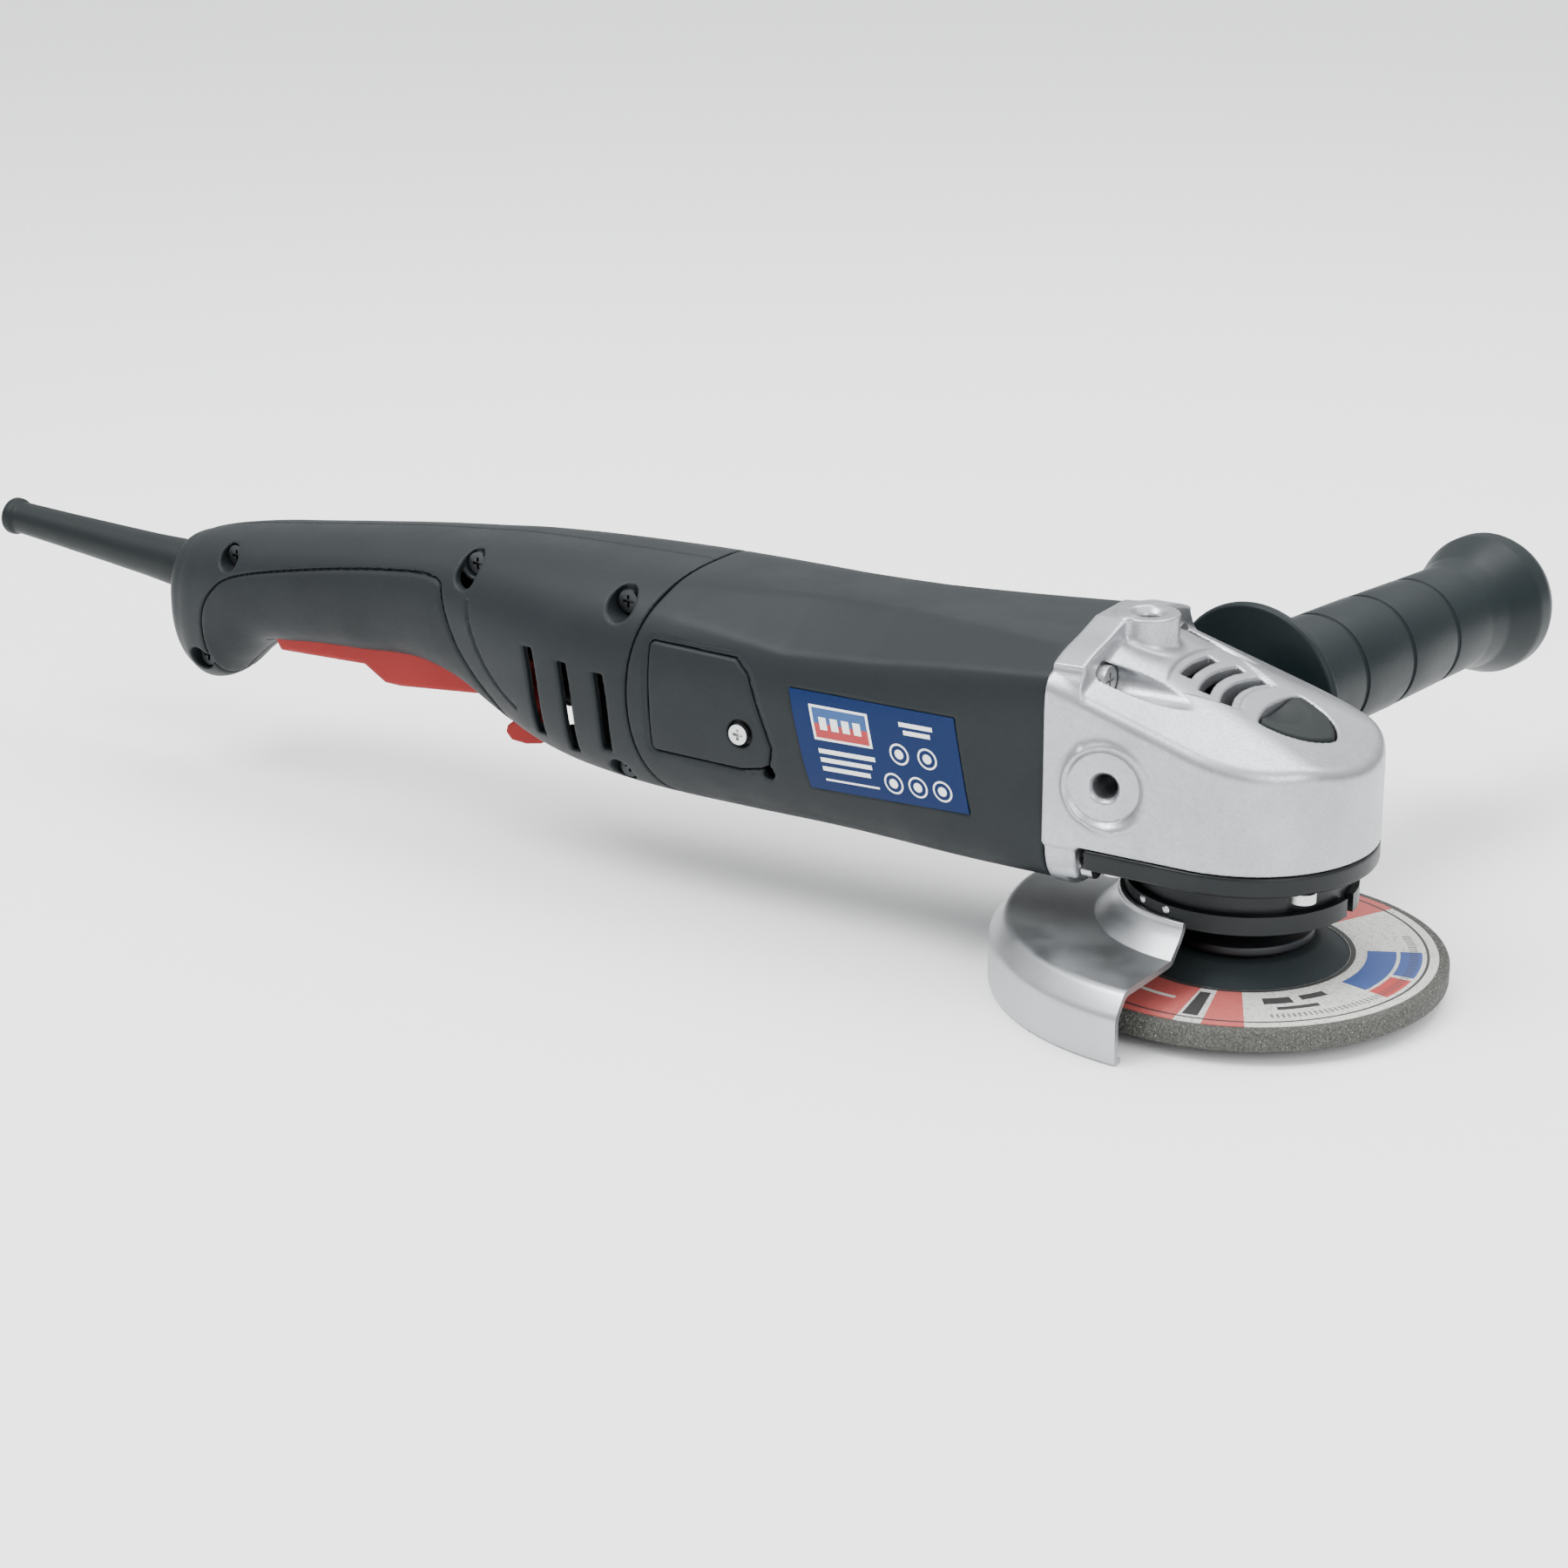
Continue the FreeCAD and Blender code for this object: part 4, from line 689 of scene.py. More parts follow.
def head_flange(g):
    """Boxy plate at the head's rear, its top rising to the boss."""
    plate = (superellipse(g, *FLANGE_FORM) - 1.0) * 34.0
    rise = [(-33.0, 91.0), (-8.5, 98.0), (8.5, 98.0), (33.0, 91.0), (30.0, 80.0), (-30.0, 80.0)]
    hump = polygon(g.y, g.z, rise)
    plate = union(plate, hump, 1.5)
    return meet(plate, np.abs(g.x + 38.0) - 4.85, 1.0)


def head_outside(g, side, roof, facet):
    """Nose, rear flange, top boss and both spot faces, still without holes."""
    nose = meet(side, meet(roof, facet, 1.6), 3.0)
    nose = meet(nose, HEAD_BOTTOM - g.z, 0.8)
    nose = np.maximum(nose, HEAD_REAR - g.x)
    case = union(nose, head_flange(g), 1.6)
    case = union(case, cylinder(g, (TOP_HOLE_X, 0, 0), UP, 8.5, 80, TOP_BOSS - 0.1), 2.5)
    for s in (1, -1):  # square to the tilted handle axis, so proud at the rear, sunk at the front
        at, axis = handle_point(s), handle_axis(s)
        case = union(case, cylinder(g, at, axis, 11.5, -6.0, 3.4), 3.5)
        case = cut(case, cylinder(g, at, axis, 9.8, 2.0, 12.0, 0.45), 2.6)
    return case


def head_cavity(g, side, roof, facet):
    """Gear chamber, leaving a wall round the upper screw pockets."""
    cavity = meet(side + 3.5, meet(roof + 4.5, facet + 3.5), 2.0)
    cavity = np.maximum(cavity, np.maximum(-37.0 - g.x, g.x - 34.0))
    cavity = union(cavity, cylinder(g, (0, 0, AXIS_Z), ALONG, 30.5, -50, -33))
    for y, z in GEAR_SCREWS[2:]:
        cavity = cut(cavity, cylinder(g, (0, y, z), ALONG, 6.6, -45.0, 4.0))
    return cavity


def handle_holes(g, case):
    """Inner bosses and three countersunk holes for the side handle."""
    for s in (1, -1):
        at, axis = handle_point(s), handle_axis(s)
        case = union(case, cylinder(g, at, axis, 8.0, -14, 1.0))
        case = cut(case, cylinder(g, at, axis, HOLE_R, -15, 6))
        case = cut(case, cylinder(g, at, axis, HOLE_R, 0.6, 6, 0.75), 0.2)
    top = (TOP_HOLE_X, 0, 0)
    case = union(case, np.maximum(cylinder(g, top, UP, 7.0, 80, 95), g.z - 92.0))
    case = cut(case, cylinder(g, top, UP, HOLE_R, 78, 108), 0.3)
    return cut(case, cylinder(g, top, UP, HOLE_R, 96.8, 108, 0.9), 0.3)


def roof_bores(g, case):
    """Upper bearing's seat, a smaller bore above it and the lock pin's hole."""
    case = cut(case, cylinder(g, (0, 0, 0), UP, 6.0, 61.0, 70.0))
    case = cut(case, cylinder(g, (0, 0, 0), UP, 4.7, 69.0, 72.6))
    return cut(case, cylinder(g, (LOCK_PIN_X, 0, 0), UP, 2.35, 55.0, 95.0))


def button_well(g, case):
    """Well that the lock button sinks into, deeper round the bearing boss."""
    well = rounded_polygon(g.x, g.y, button_outline(0.35), 1.2)
    case = cut(case, np.maximum(well, 69.0 - g.z), 0.5)
    hollow = np.maximum(well, 63.0 - g.z)
    return cut(case, cut(hollow, cylinder(g, (0, 0, 0), UP, 8.2, 55, 100)))


def gear_case():
    g = Grid((-46.0, -41.0, 22.0), (40.0, 41.0, 101.0), FINE)
    side, roof, facet = head_side(g), slope_plane(g), head_facet(g)
    case = head_outside(g, side, roof, facet)
    case = cut(case, head_cavity(g, side, roof, facet))
    case = union(case, meet(cylinder(g, (0, 0, 0), UP, 8.2, 62.5, 79.5), roof + 0.5))
    case = handle_holes(g, case)
    case = roof_bores(g, case)
    case = head_vents(g, case, roof)
    case = button_well(g, case)
    for y, z in GEAR_SCREWS:
        case = cut(case, cylinder(g, (0, y, z), ALONG, 4.7, -34.0, -3.0, -0.02), 0.5)
    for x, y in COVER_SCREWS:
        post = cylinder(g, (x, y, 0), UP, 3.6, HEAD_BOTTOM + 0.1, 53)
        case = union(case, np.maximum(post, side + 0.5))
    obj = surface("gear_head_casting", g, case, ["cast"], 1.6)
    place(obj, "housing", ["gear_case"])


def head_vents(g, case, roof):
    """Three bowed slots in a slightly sunken panel of the roof."""
    ring = np.sqrt((g.x - VENT_CENTRE_X) ** 2 + g.y**2)
    turn = np.abs(np.arctan2(g.y, VENT_CENTRE_X - g.x))
    panel = np.maximum(np.abs(ring - 36.0) - 9.4, ring * (turn - math.radians(25.0)))
    case = cut(case, np.maximum(panel, -(roof + 0.7)), 1.2)
    for radius, half_turn in VENT_ARCS:
        slot = np.maximum(np.abs(ring - radius) - 1.5, radius * (turn - math.radians(half_turn)))
        case = cut(case, np.maximum(slot, 60.0 - g.z), 0.5)
    return case


def bearing_cover():
    g = Grid((-33.0, -40.0, 20.0), (40.0, 40.0, 46.0), FINE)
    plate = np.maximum(head_side(g), -30.5 - g.x)
    plate = meet(plate, np.abs(g.z - 37.95) - 2.95, 1.0)
    neck = cylinder(g, (0, 0, 0), UP, 29.5, 22.65, 37.0)
    body = union(plate, neck, 1.6)
    body = union(body, cylinder(g, (0, 0, 0), UP, 29.2, 40.0, 43.4))
    for radius, low in ((17.5, 27.0), (10.2, 10.0), (27.2, 40.5)):
        body = cut(body, cylinder(g, (0, 0, 0), UP, radius, low, 60.0))
    for x, y in COVER_SCREWS:
        body = cut(body, cylinder(g, (x, y, 0), UP, 4.4, 10.0, 35.2), 0.5)
    obj = surface("bearing_cover_cast", g, body, ["cover"], 0.8)
    place(obj, "housing", ["bearing_cover"])


def lock_button():
    g = Grid((4.0, -15.0, 62.0), (28.0, 15.0, 80.0), 0.28)
    roof = slope_plane(g)
    cap = rounded_polygon(g.x, g.y, button_outline(0.0), 1.2)
    cap = meet(cap, roof - 0.3, 1.4)
    cap = meet(cap, -(roof + 3.4), 0.4)
    dish = np.sqrt((g.x - 13.5) ** 2 + g.y**2 + (g.z - 95.5) ** 2) - 20.9
    cap = cut(cap, dish, 0.8)
    obj = surface("spindle_lock_cap", g, cap, ["rubber"], 0.25)
    place(obj, "spindle_lock", ["lock_button"])


# ---- motor housing ----
def door_region(g):
    return rounded_polygon(g.x, g.z, BRUSH_DOOR, 1.6)


def motor_housing():
    g = Grid((-183.0, -39.0, 21.0), (-41.0, 39.0, 96.5), COARSE)
    skin = body_skin(g)
    outer = meet(skin, shoulder(g), 0.7)
    body = meet(outer, ahead_of_seam(g) + SEAM_GAP, 0.8)
    body = meet(body, g.x + 43.15, 0.9)
    cavity = np.maximum(np.maximum(outer + WALL, -168.0 - g.x), g.x + 49.0)
    body = cut(body, cavity)
    for radius, low, high in MOTOR_BORES:
        body = cut(body, cylinder(g, (0, 0, AXIS_Z), ALONG, radius, low, high))
    door = door_region(g)
    wide = np.maximum(door - 0.22, 20.0 - np.abs(g.y))
    body = cut(body, wide, 0.5)
    frame_step = np.maximum(np.maximum(door - 1.6, -(skin + 0.35)), 20.0 - np.abs(g.y))
    body = cut(body, frame_step, 0.3)
    plate = polygon(g.x, g.z, NAME_PLATE)
    body = cut(body, np.maximum(np.maximum(plate - 0.25, -(skin + 0.45)), g.y + 20.0), 0.2)
    x, z = DOOR_POCKET
    for s in (1, -1):
        body = cut(body, cylinder(g, (x, 0, z), (0, s, 0), 2.0, 31.5, 60.0), 0.4)
    obj = surface("motor_housing_shell", g, body, ["body"], 1.9)
    place(obj, "housing", ["motor_housing"])


def brush_doors():
    g = Grid((-175.0, -38.5, 41.0), (-128.0, -24.0, 79.0), 0.35)
    skin = body_skin(g)
    door = door_region(g)
    lid = meet(skin, door + 0.05, 1.0)
    lid = np.maximum(lid, -(skin + WALL))
    x, z = DOOR_SCREW
    head_y = float(skin_y(np.array([x]), z)[0])
    lid = cut(lid, cylinder(g, (x, 0, z), NEAR, 4.1, head_y - 2.6, 60.0), 0.6)
    lid = cut(lid, cylinder(g, (x, 0, z), NEAR, 1.9, 0.0, 60.0))
    x, z = DOOR_POCKET
    lid = cut(lid, cylinder(g, (x, 0, z), NEAR, 2.3, 31.0, 60.0), 0.4)
    for side, flip, hand in SIDES:
        obj = surface("brush_door_" + side, g, lid, ["body"], 0.45, flip)
        place(obj, "housing", ["brush_door_" + hand])


class Film:
    """Printed film on the near wall, laid out in (u, v) shares of NAME_PLATE."""

    def __init__(self):
        self.bm = bmesh.new()
        self.corners = [mathutils.Vector(p) for p in NAME_PLATE]

    def vertex(self, u, v, depth):
        """New vertex at (u, v), standing out from the housing wall by depth."""
        top = self.corners[0].lerp(self.corners[1], u)
        low = self.corners[3].lerp(self.corners[2], u)
        p = top.lerp(low, v)
        y = -float(skin_y(np.array([p.x]), p.y)[0]) - depth
        return self.bm.verts.new((p.x * MM, y * MM, p.y * MM))

    def slab(self, u0, u1, v0, v1, low, high, ink_index, nu, nv):
        """Closed slab between two depths, split into nu by nv cells."""
        layers = []
        for depth in (low, high):
            rows = []
            for i in range(nu + 1):
                u = u0 * (1 - i / nu) + u1 * (i / nu)
                spots = [v0 * (1 - j / nv) + v1 * (j / nv) for j in range(nv + 1)]
                rows.append([self.vertex(u, v, depth) for v in spots])
            layers.append(rows)
        inner, outer = layers
        faces = []
        for i in range(nu):
            for j in range(nv):
                faces.append((outer[i][j], outer[i + 1][j], outer[i + 1][j + 1], outer[i][j + 1]))
                faces.append((inner[i][j + 1], inner[i + 1][j + 1], inner[i + 1][j], inner[i][j]))
        for i in range(nu):
            faces.append((inner[i][0], inner[i + 1][0], outer[i + 1][0], outer[i][0]))
            faces.append((outer[i][nv], outer[i + 1][nv], inner[i + 1][nv], inner[i][nv]))
        for j in range(nv):
            faces.append((outer[0][j], outer[0][j + 1], inner[0][j + 1], inner[0][j]))
            faces.append((inner[nu][j], inner[nu][j + 1], outer[nu][j + 1], outer[nu][j]))
        for corners in faces:
            self.bm.faces.new(corners).material_index = ink_index

    def bar(self, u0, u1, v0, v1, ink_index, lift=0.0):
        wide = max(1, int((u1 - u0) * 20))
        tall = max(1, int((v1 - v0) * 10))
        self.slab(u0, u1, v0, v1, -0.2, 0.1 + lift, ink_index, wide, tall)

    def dot(self, u, v, radius, ink_index, lift):
        """Round spot; v is stretched by the film's own proportions."""
        turns = [2.0 * math.pi * k / DOT_SIDES for k in range(DOT_SIDES)]
        spots = [(u + radius * math.cos(a), v + radius * 1.9 * math.sin(a)) for a in turns]
        low, high = ([self.vertex(p, q, depth) for p, q in spots] for depth in (-0.2, 0.1 + lift))
        for k in range(DOT_SIDES):
            n = (k + 1) % DOT_SIDES
            self.bm.faces.new((low[k], low[n], high[n], high[k])).material_index = ink_index
        self.bm.faces.new(high).material_index = ink_index
        self.bm.faces.new(low[::-1]).material_index = ink_index


def name_plate():
    """Film with plain blocks, bars and rings that spell nothing."""
    film = Film()
    film.slab(0, 1, 0, 1, -0.38, 0.04, 0, 28, 16)
    film.bar(0.11, 0.47, 0.12, 0.47, 1)
    film.bar(0.125, 0.455, 0.145, 0.30, 3, 0.04)
    film.bar(0.125, 0.455, 0.30, 0.445, 2, 0.04)
    for i in range(4):
        film.bar(0.16 + 0.07 * i, 0.205 + 0.07 * i, 0.235, 0.36, 1, 0.08)
    for v, u0, u1 in FILM_BARS:
        film.bar(u0, u1, v, v + 0.045, 1)
    film.bar(0.12, 0.46, 0.87, 0.89, 1)
    for u, v in FILM_RINGS:
        for size, index, lift in ((1.0, 1, 0.0), (0.82, 0, 0.04), (0.45, 1, 0.08)):
            film.dot(u, v, 0.058 * size, index, lift)
    bmesh.ops.recalc_face_normals(film.bm, faces=film.bm.faces)
    mesh = bpy.data.meshes.new("rating_film")
    film.bm.to_mesh(mesh)
    film.bm.free()
    obj = add_object("rating_film", mesh, ["film", "white", "ink_red", "ink_blue"])
    place(obj, "housing", ["name_plate"])


# ---- rear handle ----
def softened(points, rounds=2):
    """Outline with its corners cut back, each round by a share of its sides."""
    for _ in range(rounds):
        out = []
        for i, b in enumerate(points):
            a = points[i - 1]
            for p, q in ((0.78, 0.22), (0.22, 0.78)):
                out.append((a[0] * p + b[0] * q, a[1] * p + b[1] * q))
        points = out
    return points


def handle_fields(g):
    skin = body_skin(g)
    return skin, polygon(g.x, g.z, softened(GRIP_LINE))


def paddle_slot(g):
    return block(g, (-337.5, -9.7, 0.0), (-225.0, 9.7, 56.5))


def sleeve_axis():
    (x0, z0), (x1, z1) = SLEEVE_FROM, SLEEVE_TIP
    return (x1 - x0, 0.0, z1 - z0)


def cooling_slots(g, shell):
    """Three bowed slots near the shell's front end."""
    for x, top, low in ((-217.5, 67.0, 39.5), (-204.5, 65.0, 36.5), (-191.0, 64.0, 40.0)):
        bow = x + 2.2 - 4.0 * ((g.z - 53.0) / 14.0) ** 2 * 0.35 + (53.0 - g.z) * 0.07
        tall = np.abs(g.z - (top + low) / 2) - (top - low) / 2
        slot = np.maximum(np.abs(g.x - bow) - 1.7, tall)
        shell = cut(shell, np.maximum(slot, g.y + 20.0), 1.0)
    return shell


def relief_groove(g, shell, skin):
    """Fine curved line in the skin, a little ahead of the grip."""
    curve = np.sqrt((g.x + 200.0) ** 2 + (g.z - 84.0) ** 2) - 45.0
    groove = np.maximum(np.abs(curve) - 0.45, -(skin + 0.7))
    groove = np.maximum(np.maximum(groove, g.z - 76.0), 44.0 - g.z)
    return cut(shell, np.maximum(groove, g.x + 224.0), 0.3)


def screw_seats(g, shell):
    """Deep round seats in the near shell, two of them drawn out downward."""
    for i, (x, z) in enumerate(HANDLE_SCREWS):
        depth = float(skin_y(np.array([x]), z)[0]) - SCREW_DEPTH
        mouth = 4.6 if i == WIDE_SEAT else 4.0
        shell = cut(shell, cylinder(g, (x, 0, z), NEAR, mouth, depth, 60.0), 0.7)
        if i in LONG_SEATS:
            shell = cut(shell, cylinder(g, (x - 0.5, 0, z - 2.5), NEAR, 3.9, depth + 4.0, 60.0), 0.7)
    return shell


def handle_shells():
    g = Grid((-379.0, -38.0, 20.0), (-150.0, 1.1, 95.0), COARSE)
    skin, grip = handle_fields(g)
    outer = meet(skin, -(ahead_of_seam(g)) + SEAM_GAP, 0.8)
    outer = np.maximum(outer, -376.4 - g.x)
    shell = cut(outer, np.maximum(skin + WALL, -371.5 - g.x))
    for x, z in HANDLE_SCREWS:
        post = np.maximum(cylinder(g, (x, 0, z), ACROSS, POST_R, -40, 0), outer + 0.5)
        shell = union(shell, post)
    for low, high in (((-336, -14, 44.5), (-326, 0, 55.5)), ((-362, -15, 50), (-352, 0, 54))):
        shell = union(shell, np.maximum(block(g, low, high), outer + 0.5))
    shell = meet(shell, g.y + 0.12, 0.5)
    bed = np.maximum(grip - 0.1, -(skin + INLAY_BED))
    shell = cut(shell, bed, 0.4)
    shell = cut(shell, paddle_slot(g), 0.8)
    sleeve = cylinder(g, (SLEEVE_FROM[0], 0, SLEEVE_FROM[1]), sleeve_axis(), 9.4, -40, 40)
    shell = cut(shell, sleeve, 0.8)
    x, z = PADDLE_PIVOT
    shell = cut(shell, cylinder(g, (x, 0, z), ACROSS, 2.1, -13, 13))
    shell = relief_groove(g, cooling_slots(g, shell), skin)
    for side, flip, hand in SIDES:
        half = shell if flip else screw_seats(g, shell)
        obj = surface("handle_half_" + side, g, half, ["body"], 1.3, flip)
        place(obj, "housing", ["handle_shell_" + hand])


def grip_inlays():
    g = Grid((-359.0, -30.0, 22.0), (-227.0, 1.1, 84.0), COARSE)
    skin, grip = handle_fields(g)
    inlay = meet(skin - 0.25, grip + 0.2, 1.6)
    inlay = np.maximum(inlay, -(skin + 1.1))
    inlay = meet(inlay, g.y + 0.15, 0.4)
    inlay = cut(inlay, paddle_slot(g), 0.6)
    for side, flip, hand in SIDES:
        obj = surface("grip_pad_" + side, g, inlay, ["grip"], 0.7, flip)
        place(obj, "housing", ["grip_inlay_" + hand])


def switch_paddle():
    g = Grid((-338.0, -10.5, 33.0), (-236.0, 10.5, 56.5), 0.38)
    outline = rounded_polygon(g.x, g.z, PADDLE_OUTLINE, 1.0)
    body = meet(outline, np.abs(g.y) - 8.95, 1.8)
    body = cut(body, np.maximum(polygon(g.x, g.z, PADDLE_INSIDE), np.abs(g.y) - 7.2))
    body = cut(body, block(g, (-256.2, -5.6, 20), (-230, 5.6, 70)), 0.5)
    body = union(body, block(g, (-283.5, -2.4, 38.6), (-278.5, 2.4, 53.2)))
    x, z = PADDLE_PIVOT
    body = cut(body, cylinder(g, (x, 0, z), ACROSS, 2.15, -20, 20))
    obj = surface("switch_paddle", g, body, ["red"], 0.5)
    place(obj, "paddle_group", ["paddle"])


def lever():
    g = Grid((-249.0, -6.0, 22.5), (-229.0, 6.0, 47.5), 0.25)
    outline = rounded_polygon(g.x, g.z, LEVER_OUTLINE, 0.6)
    body = meet(outline, np.abs(g.y) - 4.95, 1.2)
    x, z = LEVER_PIVOT
    body = cut(body, cylinder(g, (x, 0, z), ACROSS, 1.6, -20, 20))
    obj = surface("lock_off_lever", g, body, ["red"], 0.25)
    place(obj, "lever_body", ["lock_lever"])


# ---- turned and sheet parts ----
def guard():
    """Half-round guard with a lip turned in at its lower edge."""
    t, outer, top, skirt = 1.8, 69.5, 15.8, -4.0
    profile = [
        (32.0, 24.6), (32.0, 22.6), (33.6, 20.0), (38.9, 14.2), (42.0, top - t), (outer - 5.5, top - t),
        (outer - t, top - 7.0), (outer - t, skirt + t), (outer - 3.4, skirt + t), (outer - 3.4, skirt),
        (outer, skirt), (outer, top - 6.2), (outer - 4.8, top), (41.0, top), (40.2, top), (35.4, 20.6),
        (33.8, 23.0), (33.6, 24.6),
    ]
    obj = lathe("guard_shell", profile, ["zinc"], 1.6, 160, GUARD_FROM, GUARD_SWEEP)
    for face in obj.data.polygons:
        if len(face.vertices) > 4:
            face.use_smooth = False
    place(obj, "guard_group", ["guard"])


def disc():
    """Depressed-centre disc, its hub faced with smooth paper, and its printed label."""
    bore, rim, thick, rise = 11.0, 57.5, 6.0, 4.5
    top = thick + rise
    profile = [
        (bore, rise), (24.0, rise), (32.0, 0.0), (rim, 0.0), (rim, thick), (30.0, thick), (22.0, top),
        (bore, top),
    ]
    obj = lathe("grinding_disc_body", profile, ["abrasive", "hub_paper"], 1.0, 192,
                paint=lambda r, z: int(r < 30.6 and z > 5.5))
    place(obj, "spindle_group", ["grinding_disc"])
    label = [(30.4, 5.95), (54.5, 5.95), (54.5, 6.28), (30.4, 6.28)]
    obj = lathe("disc_print_ring", label, ["disc_print"], 0.08, 192)
    place(obj, "spindle_group", ["disc_label"])


def spindle_flange():
    profile = [(7.0, 10.5), (19.0, 10.5), (20.5, 12.0), (20.5, 14.2), (14.0, 16.4), (7.0, 16.4)]
    obj = lathe("drive_flange", profile, ["dark_steel"], 0.5, 96)
    place(obj, "spindle_group", ["inner_flange"])


def axis_matrix(at, axis):
    turn = mathutils.Vector(UP).rotation_difference(mathutils.Vector(axis)).to_matrix().to_4x4()
    return mathutils.Matrix.Translation(mathutils.Vector(at) * MM) @ turn


def cord_sleeve():
    axis = sleeve_axis()
    n = math.hypot(axis[0], axis[2])
    profile = [
        (CORD_R, 0), (9.3, 0), (9.3, 3.0), (8.3, 4.0), (8.3, 12.0), (7.9, 18.0), (7.3, 27.0), (6.6, 45.0),
        (5.9, 65.0), (5.4, n - 7.0), (5.3, n - 4.5), (6.2, n - 3.2), (6.25, n - 1.0), (5.7, n), (CORD_R, n),
    ]
    matrix = axis_matrix((SLEEVE_FROM[0], 0, SLEEVE_FROM[1]), axis)
    obj = lathe("cord_sleeve", profile, ["rubber"], 0.8, 72, matrix=matrix)
    place(obj, "housing", ["strain_relief"])


def side_handle():
    profile = [
        (4.0, 8.0), (9.5, 8.0), (10.5, 14.0), (13.0, 17.0), (28.0, 18.0), (28.8, 19.0), (28.8, 20.4),
        (27.6, 21.4), (19.4, 23.6), (18.2, 28.0), (18.0, 50.9), (17.3, 51.1), (17.3, 52.9),
        (17.95, 53.1), (17.7, 76.9), (16.9, 77.1), (16.9, 78.9), (17.55, 79.1), (17.0, 102.9),
        (16.3, 103.1), (16.3, 104.9), (16.9, 105.1), (16.6, 124.0), (17.6, 132.0), (20.2, 139.0),
        (21.9, 144.0), (21.9, 150.0), (19.6, 154.6), (14.0, 157.2), (4.0, 158.0), (0.0, 158.0),
        (0.0, 33.0), (4.0, 33.0),
    ]
    matrix = axis_matrix(handle_point(1), handle_axis(1))
    obj = lathe("side_handle_body", profile, ["side_grip"], 1.2, 96, matrix=matrix)
    place(obj, "housing", ["side_handle_grip"])


# ---- materials of the parts kept from the frame ----
KEPT = {
    "screw": ["gear_case_screws", "bearing_cover_screws", "brush_door_screws", "cord_clamp_screws",
              "guard_rivets", "side_handle_stud"],
    "zinc": ["dust_ring"],
    "cover": ["guard_band"],
    "steel": ["lower_spindle_bearing", "upper_spindle_bearing", "armature_front_bearing",
              "armature_rear_bearing", "ring_gear", "lock_nut", "disc_bushing", "armature_shaft",
              "pinion", "pinion_nut", "paddle_pin", "lever_pin", "lock_pin", "paddle_spring",
              "lever_spring", "lock_spring"],
    "dark_steel": ["brush_springs", "spindle", "handle_screws"],
    "lamination": ["stator_core", "armature_core"],
    "copper": ["stator_windings", "armature_windings", "commutator"],
    "brass": ["brush_holders"],
    "carbon": ["carbon_brush_right", "carbon_brush_left"],
    "body": ["bearing_plate", "air_baffle", "cooling_fan", "switch_body", "switch_plunger", "cord_clamp"],
}


def dress_kept():
    for key, nodes in KEPT.items():
        for node in nodes:
            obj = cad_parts[node]
            for slot in obj.material_slots:
                slot.link = "OBJECT"
                slot.material = MATS[key]
            if not obj.material_slots:
                obj.data.materials.append(MATS[key])


# ---- floor, light, camera ----
def stage():
    """Pale floor at the object's lowest point."""
    low = CAD_BOX[0][2]
    bm = bmesh.new()
    reach = 6.0
    corners = [(-reach, -reach), (reach, -reach), (reach, reach), (-reach, reach)]
    bm.faces.new([bm.verts.new((x, y, low)) for x, y in corners])
    mesh = bpy.data.meshes.new("floor")
    bm.to_mesh(mesh)
    bm.free()
    s = Shader("floor_paper")
    tone = s.mix(s.span(s.noise(3.0, 3.0), 0.3, 0.7), (0.93, 0.93, 0.93, 1.0), (0.95, 0.95, 0.95, 1.0))
    mesh.materials.append(s.finish(tone, 0.9))
    floor = linked("floor", mesh)


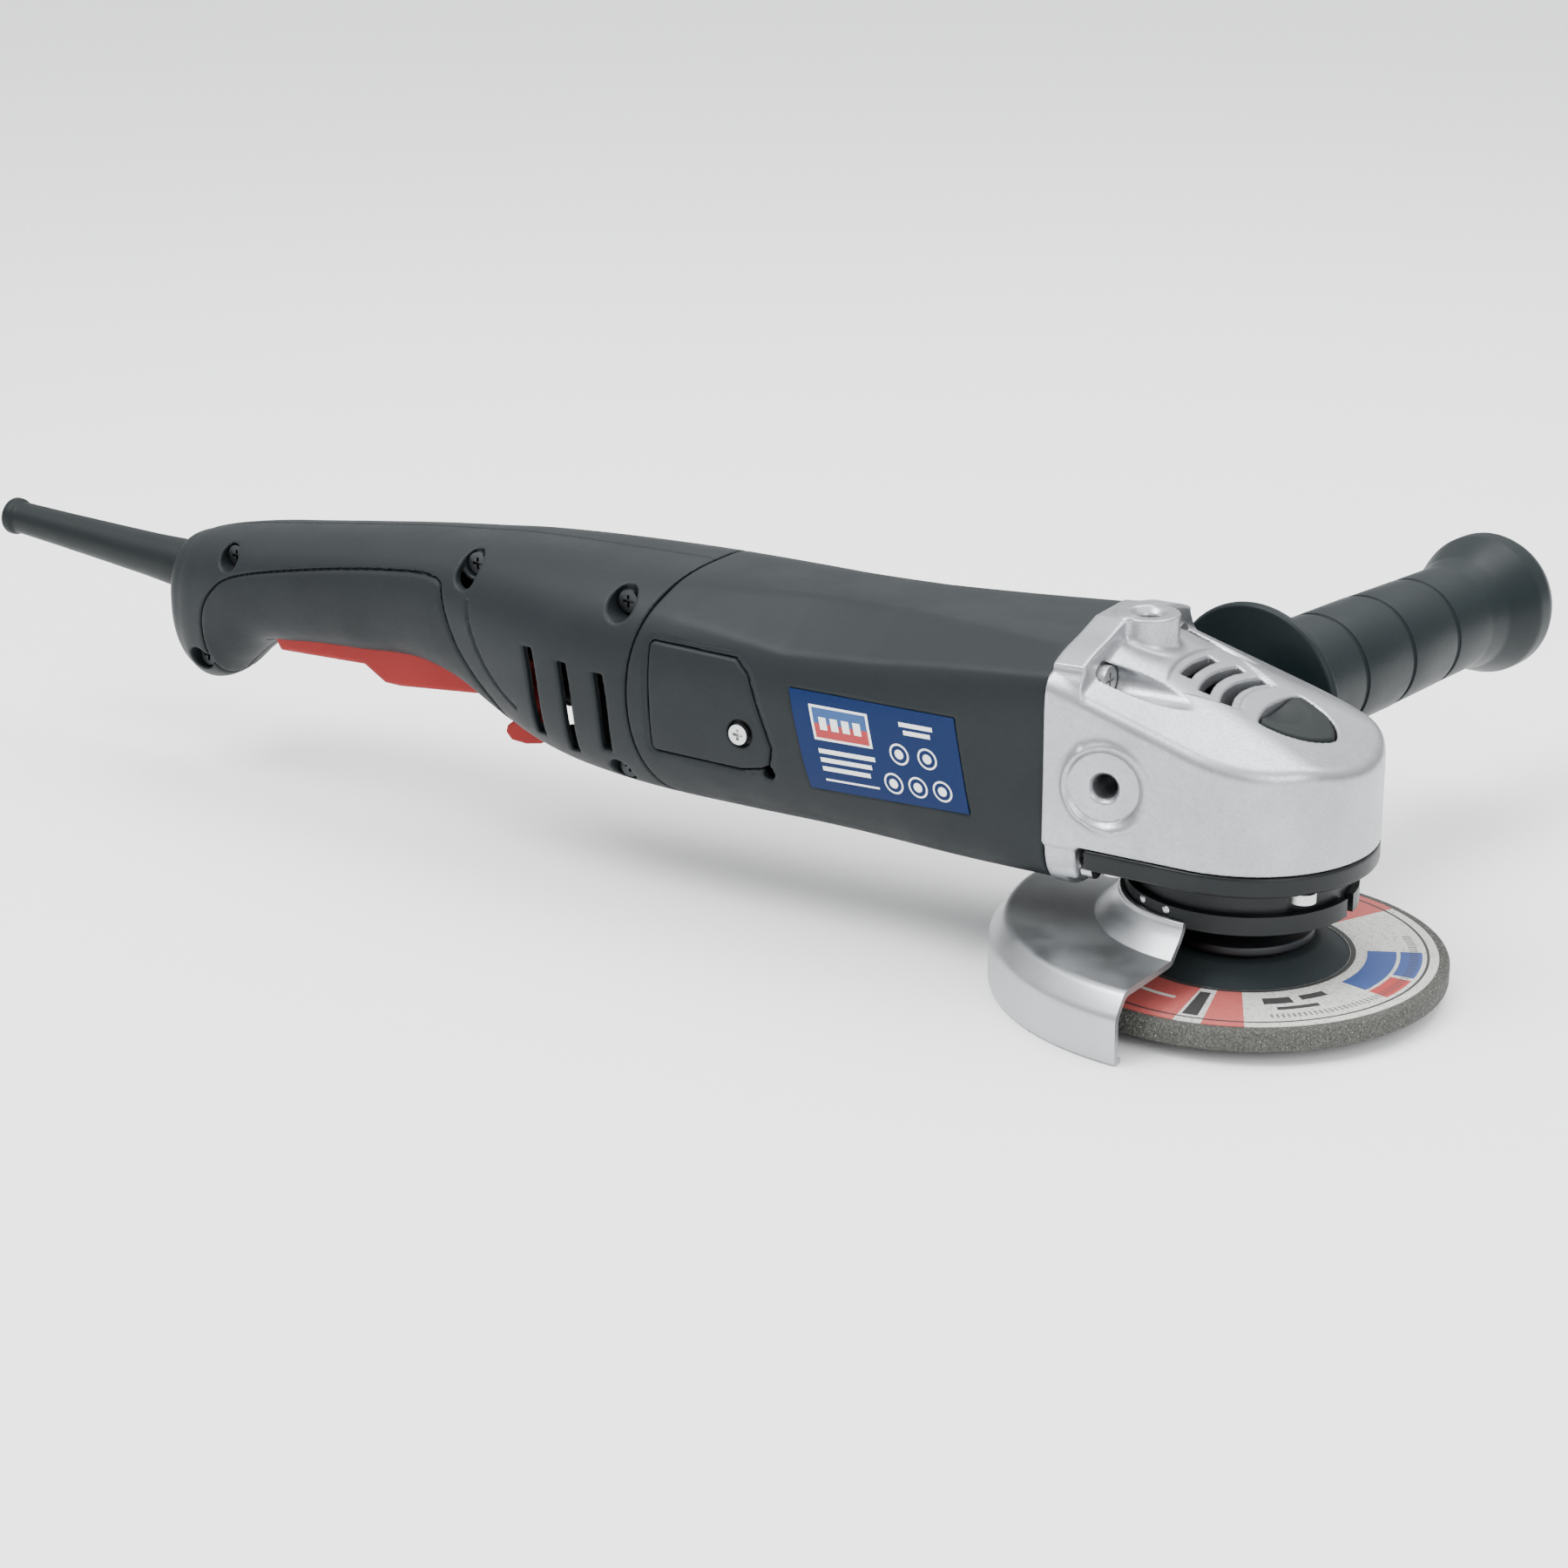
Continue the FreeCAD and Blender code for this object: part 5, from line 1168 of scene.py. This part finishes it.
def lights():
    """White surround, brighter overhead, and three soft area lamps."""
    world = bpy.data.worlds.new("studio")
    bpy.context.scene.world = world
    world.use_nodes = True
    tree = world.node_tree
    back = tree.nodes["Background"]
    back.inputs["Color"].default_value = (0.97, 0.985, 1.0, 1.0)
    coord = tree.nodes.new("ShaderNodeTexCoord")
    split = tree.nodes.new("ShaderNodeSeparateXYZ")
    rise = tree.nodes.new("ShaderNodeMapRange")
    for key, value in (("From Min", 0.0), ("From Max", 0.9), ("To Min", 0.5), ("To Max", 2.1)):
        rise.inputs[key].default_value = value
    tree.links.new(coord.outputs["Generated"], split.inputs[0])
    tree.links.new(split.outputs["Z"], rise.inputs["Value"])
    tree.links.new(rise.outputs["Result"], back.inputs["Strength"])
    lamp("key", (-0.6, -0.55, 1.35), 0.8, 26.0)
    lamp("fill", (0.95, -0.6, 0.6), 0.7, 8.0)
    lamp("top", (0.1, 0.5, 1.3), 1.0, 16.0)


def lamp(name, at, size, power):
    data = bpy.data.lights.new(name, "AREA")
    data.size = size
    data.energy = power
    obj = linked(name, data)
    obj.location = at
    aim = mathutils.Vector((-0.15, 0.0, 0.05)) - mathutils.Vector(at)
    obj.rotation_euler = aim.to_track_quat("-Z", "Y").to_euler()


def camera():
    azimuth, elevation, roll = math.radians(32.0), math.radians(19.8), math.radians(-0.43)
    target = mathutils.Vector((-0.1483, 0.0, 0.0269))
    level = math.cos(elevation)
    back = mathutils.Vector((math.sin(azimuth) * level, -math.cos(azimuth) * level, math.sin(elevation)))
    right = mathutils.Vector((math.cos(azimuth), math.sin(azimuth), 0.0))
    up = back.cross(right)
    c, s = math.cos(roll), math.sin(roll)
    right, up = right * c + up * s, up * c - right * s
    data = bpy.data.cameras.new("camera")
    data.sensor_width = 36.0
    data.lens = 77.32
    data.dof.use_dof = False
    obj = linked("camera", data)
    turn = mathutils.Matrix((right, up, back)).transposed().to_4x4()
    obj.matrix_world = mathutils.Matrix.Translation(target + back) @ turn
    bpy.context.scene.camera = obj


gear_case()
bearing_cover()
lock_button()
motor_housing()
brush_doors()
name_plate()
handle_shells()
grip_inlays()
switch_paddle()
lever()
guard()
disc()
spindle_flange()
cord_sleeve()
side_handle()
dress_kept()
stage()
lights()
camera()
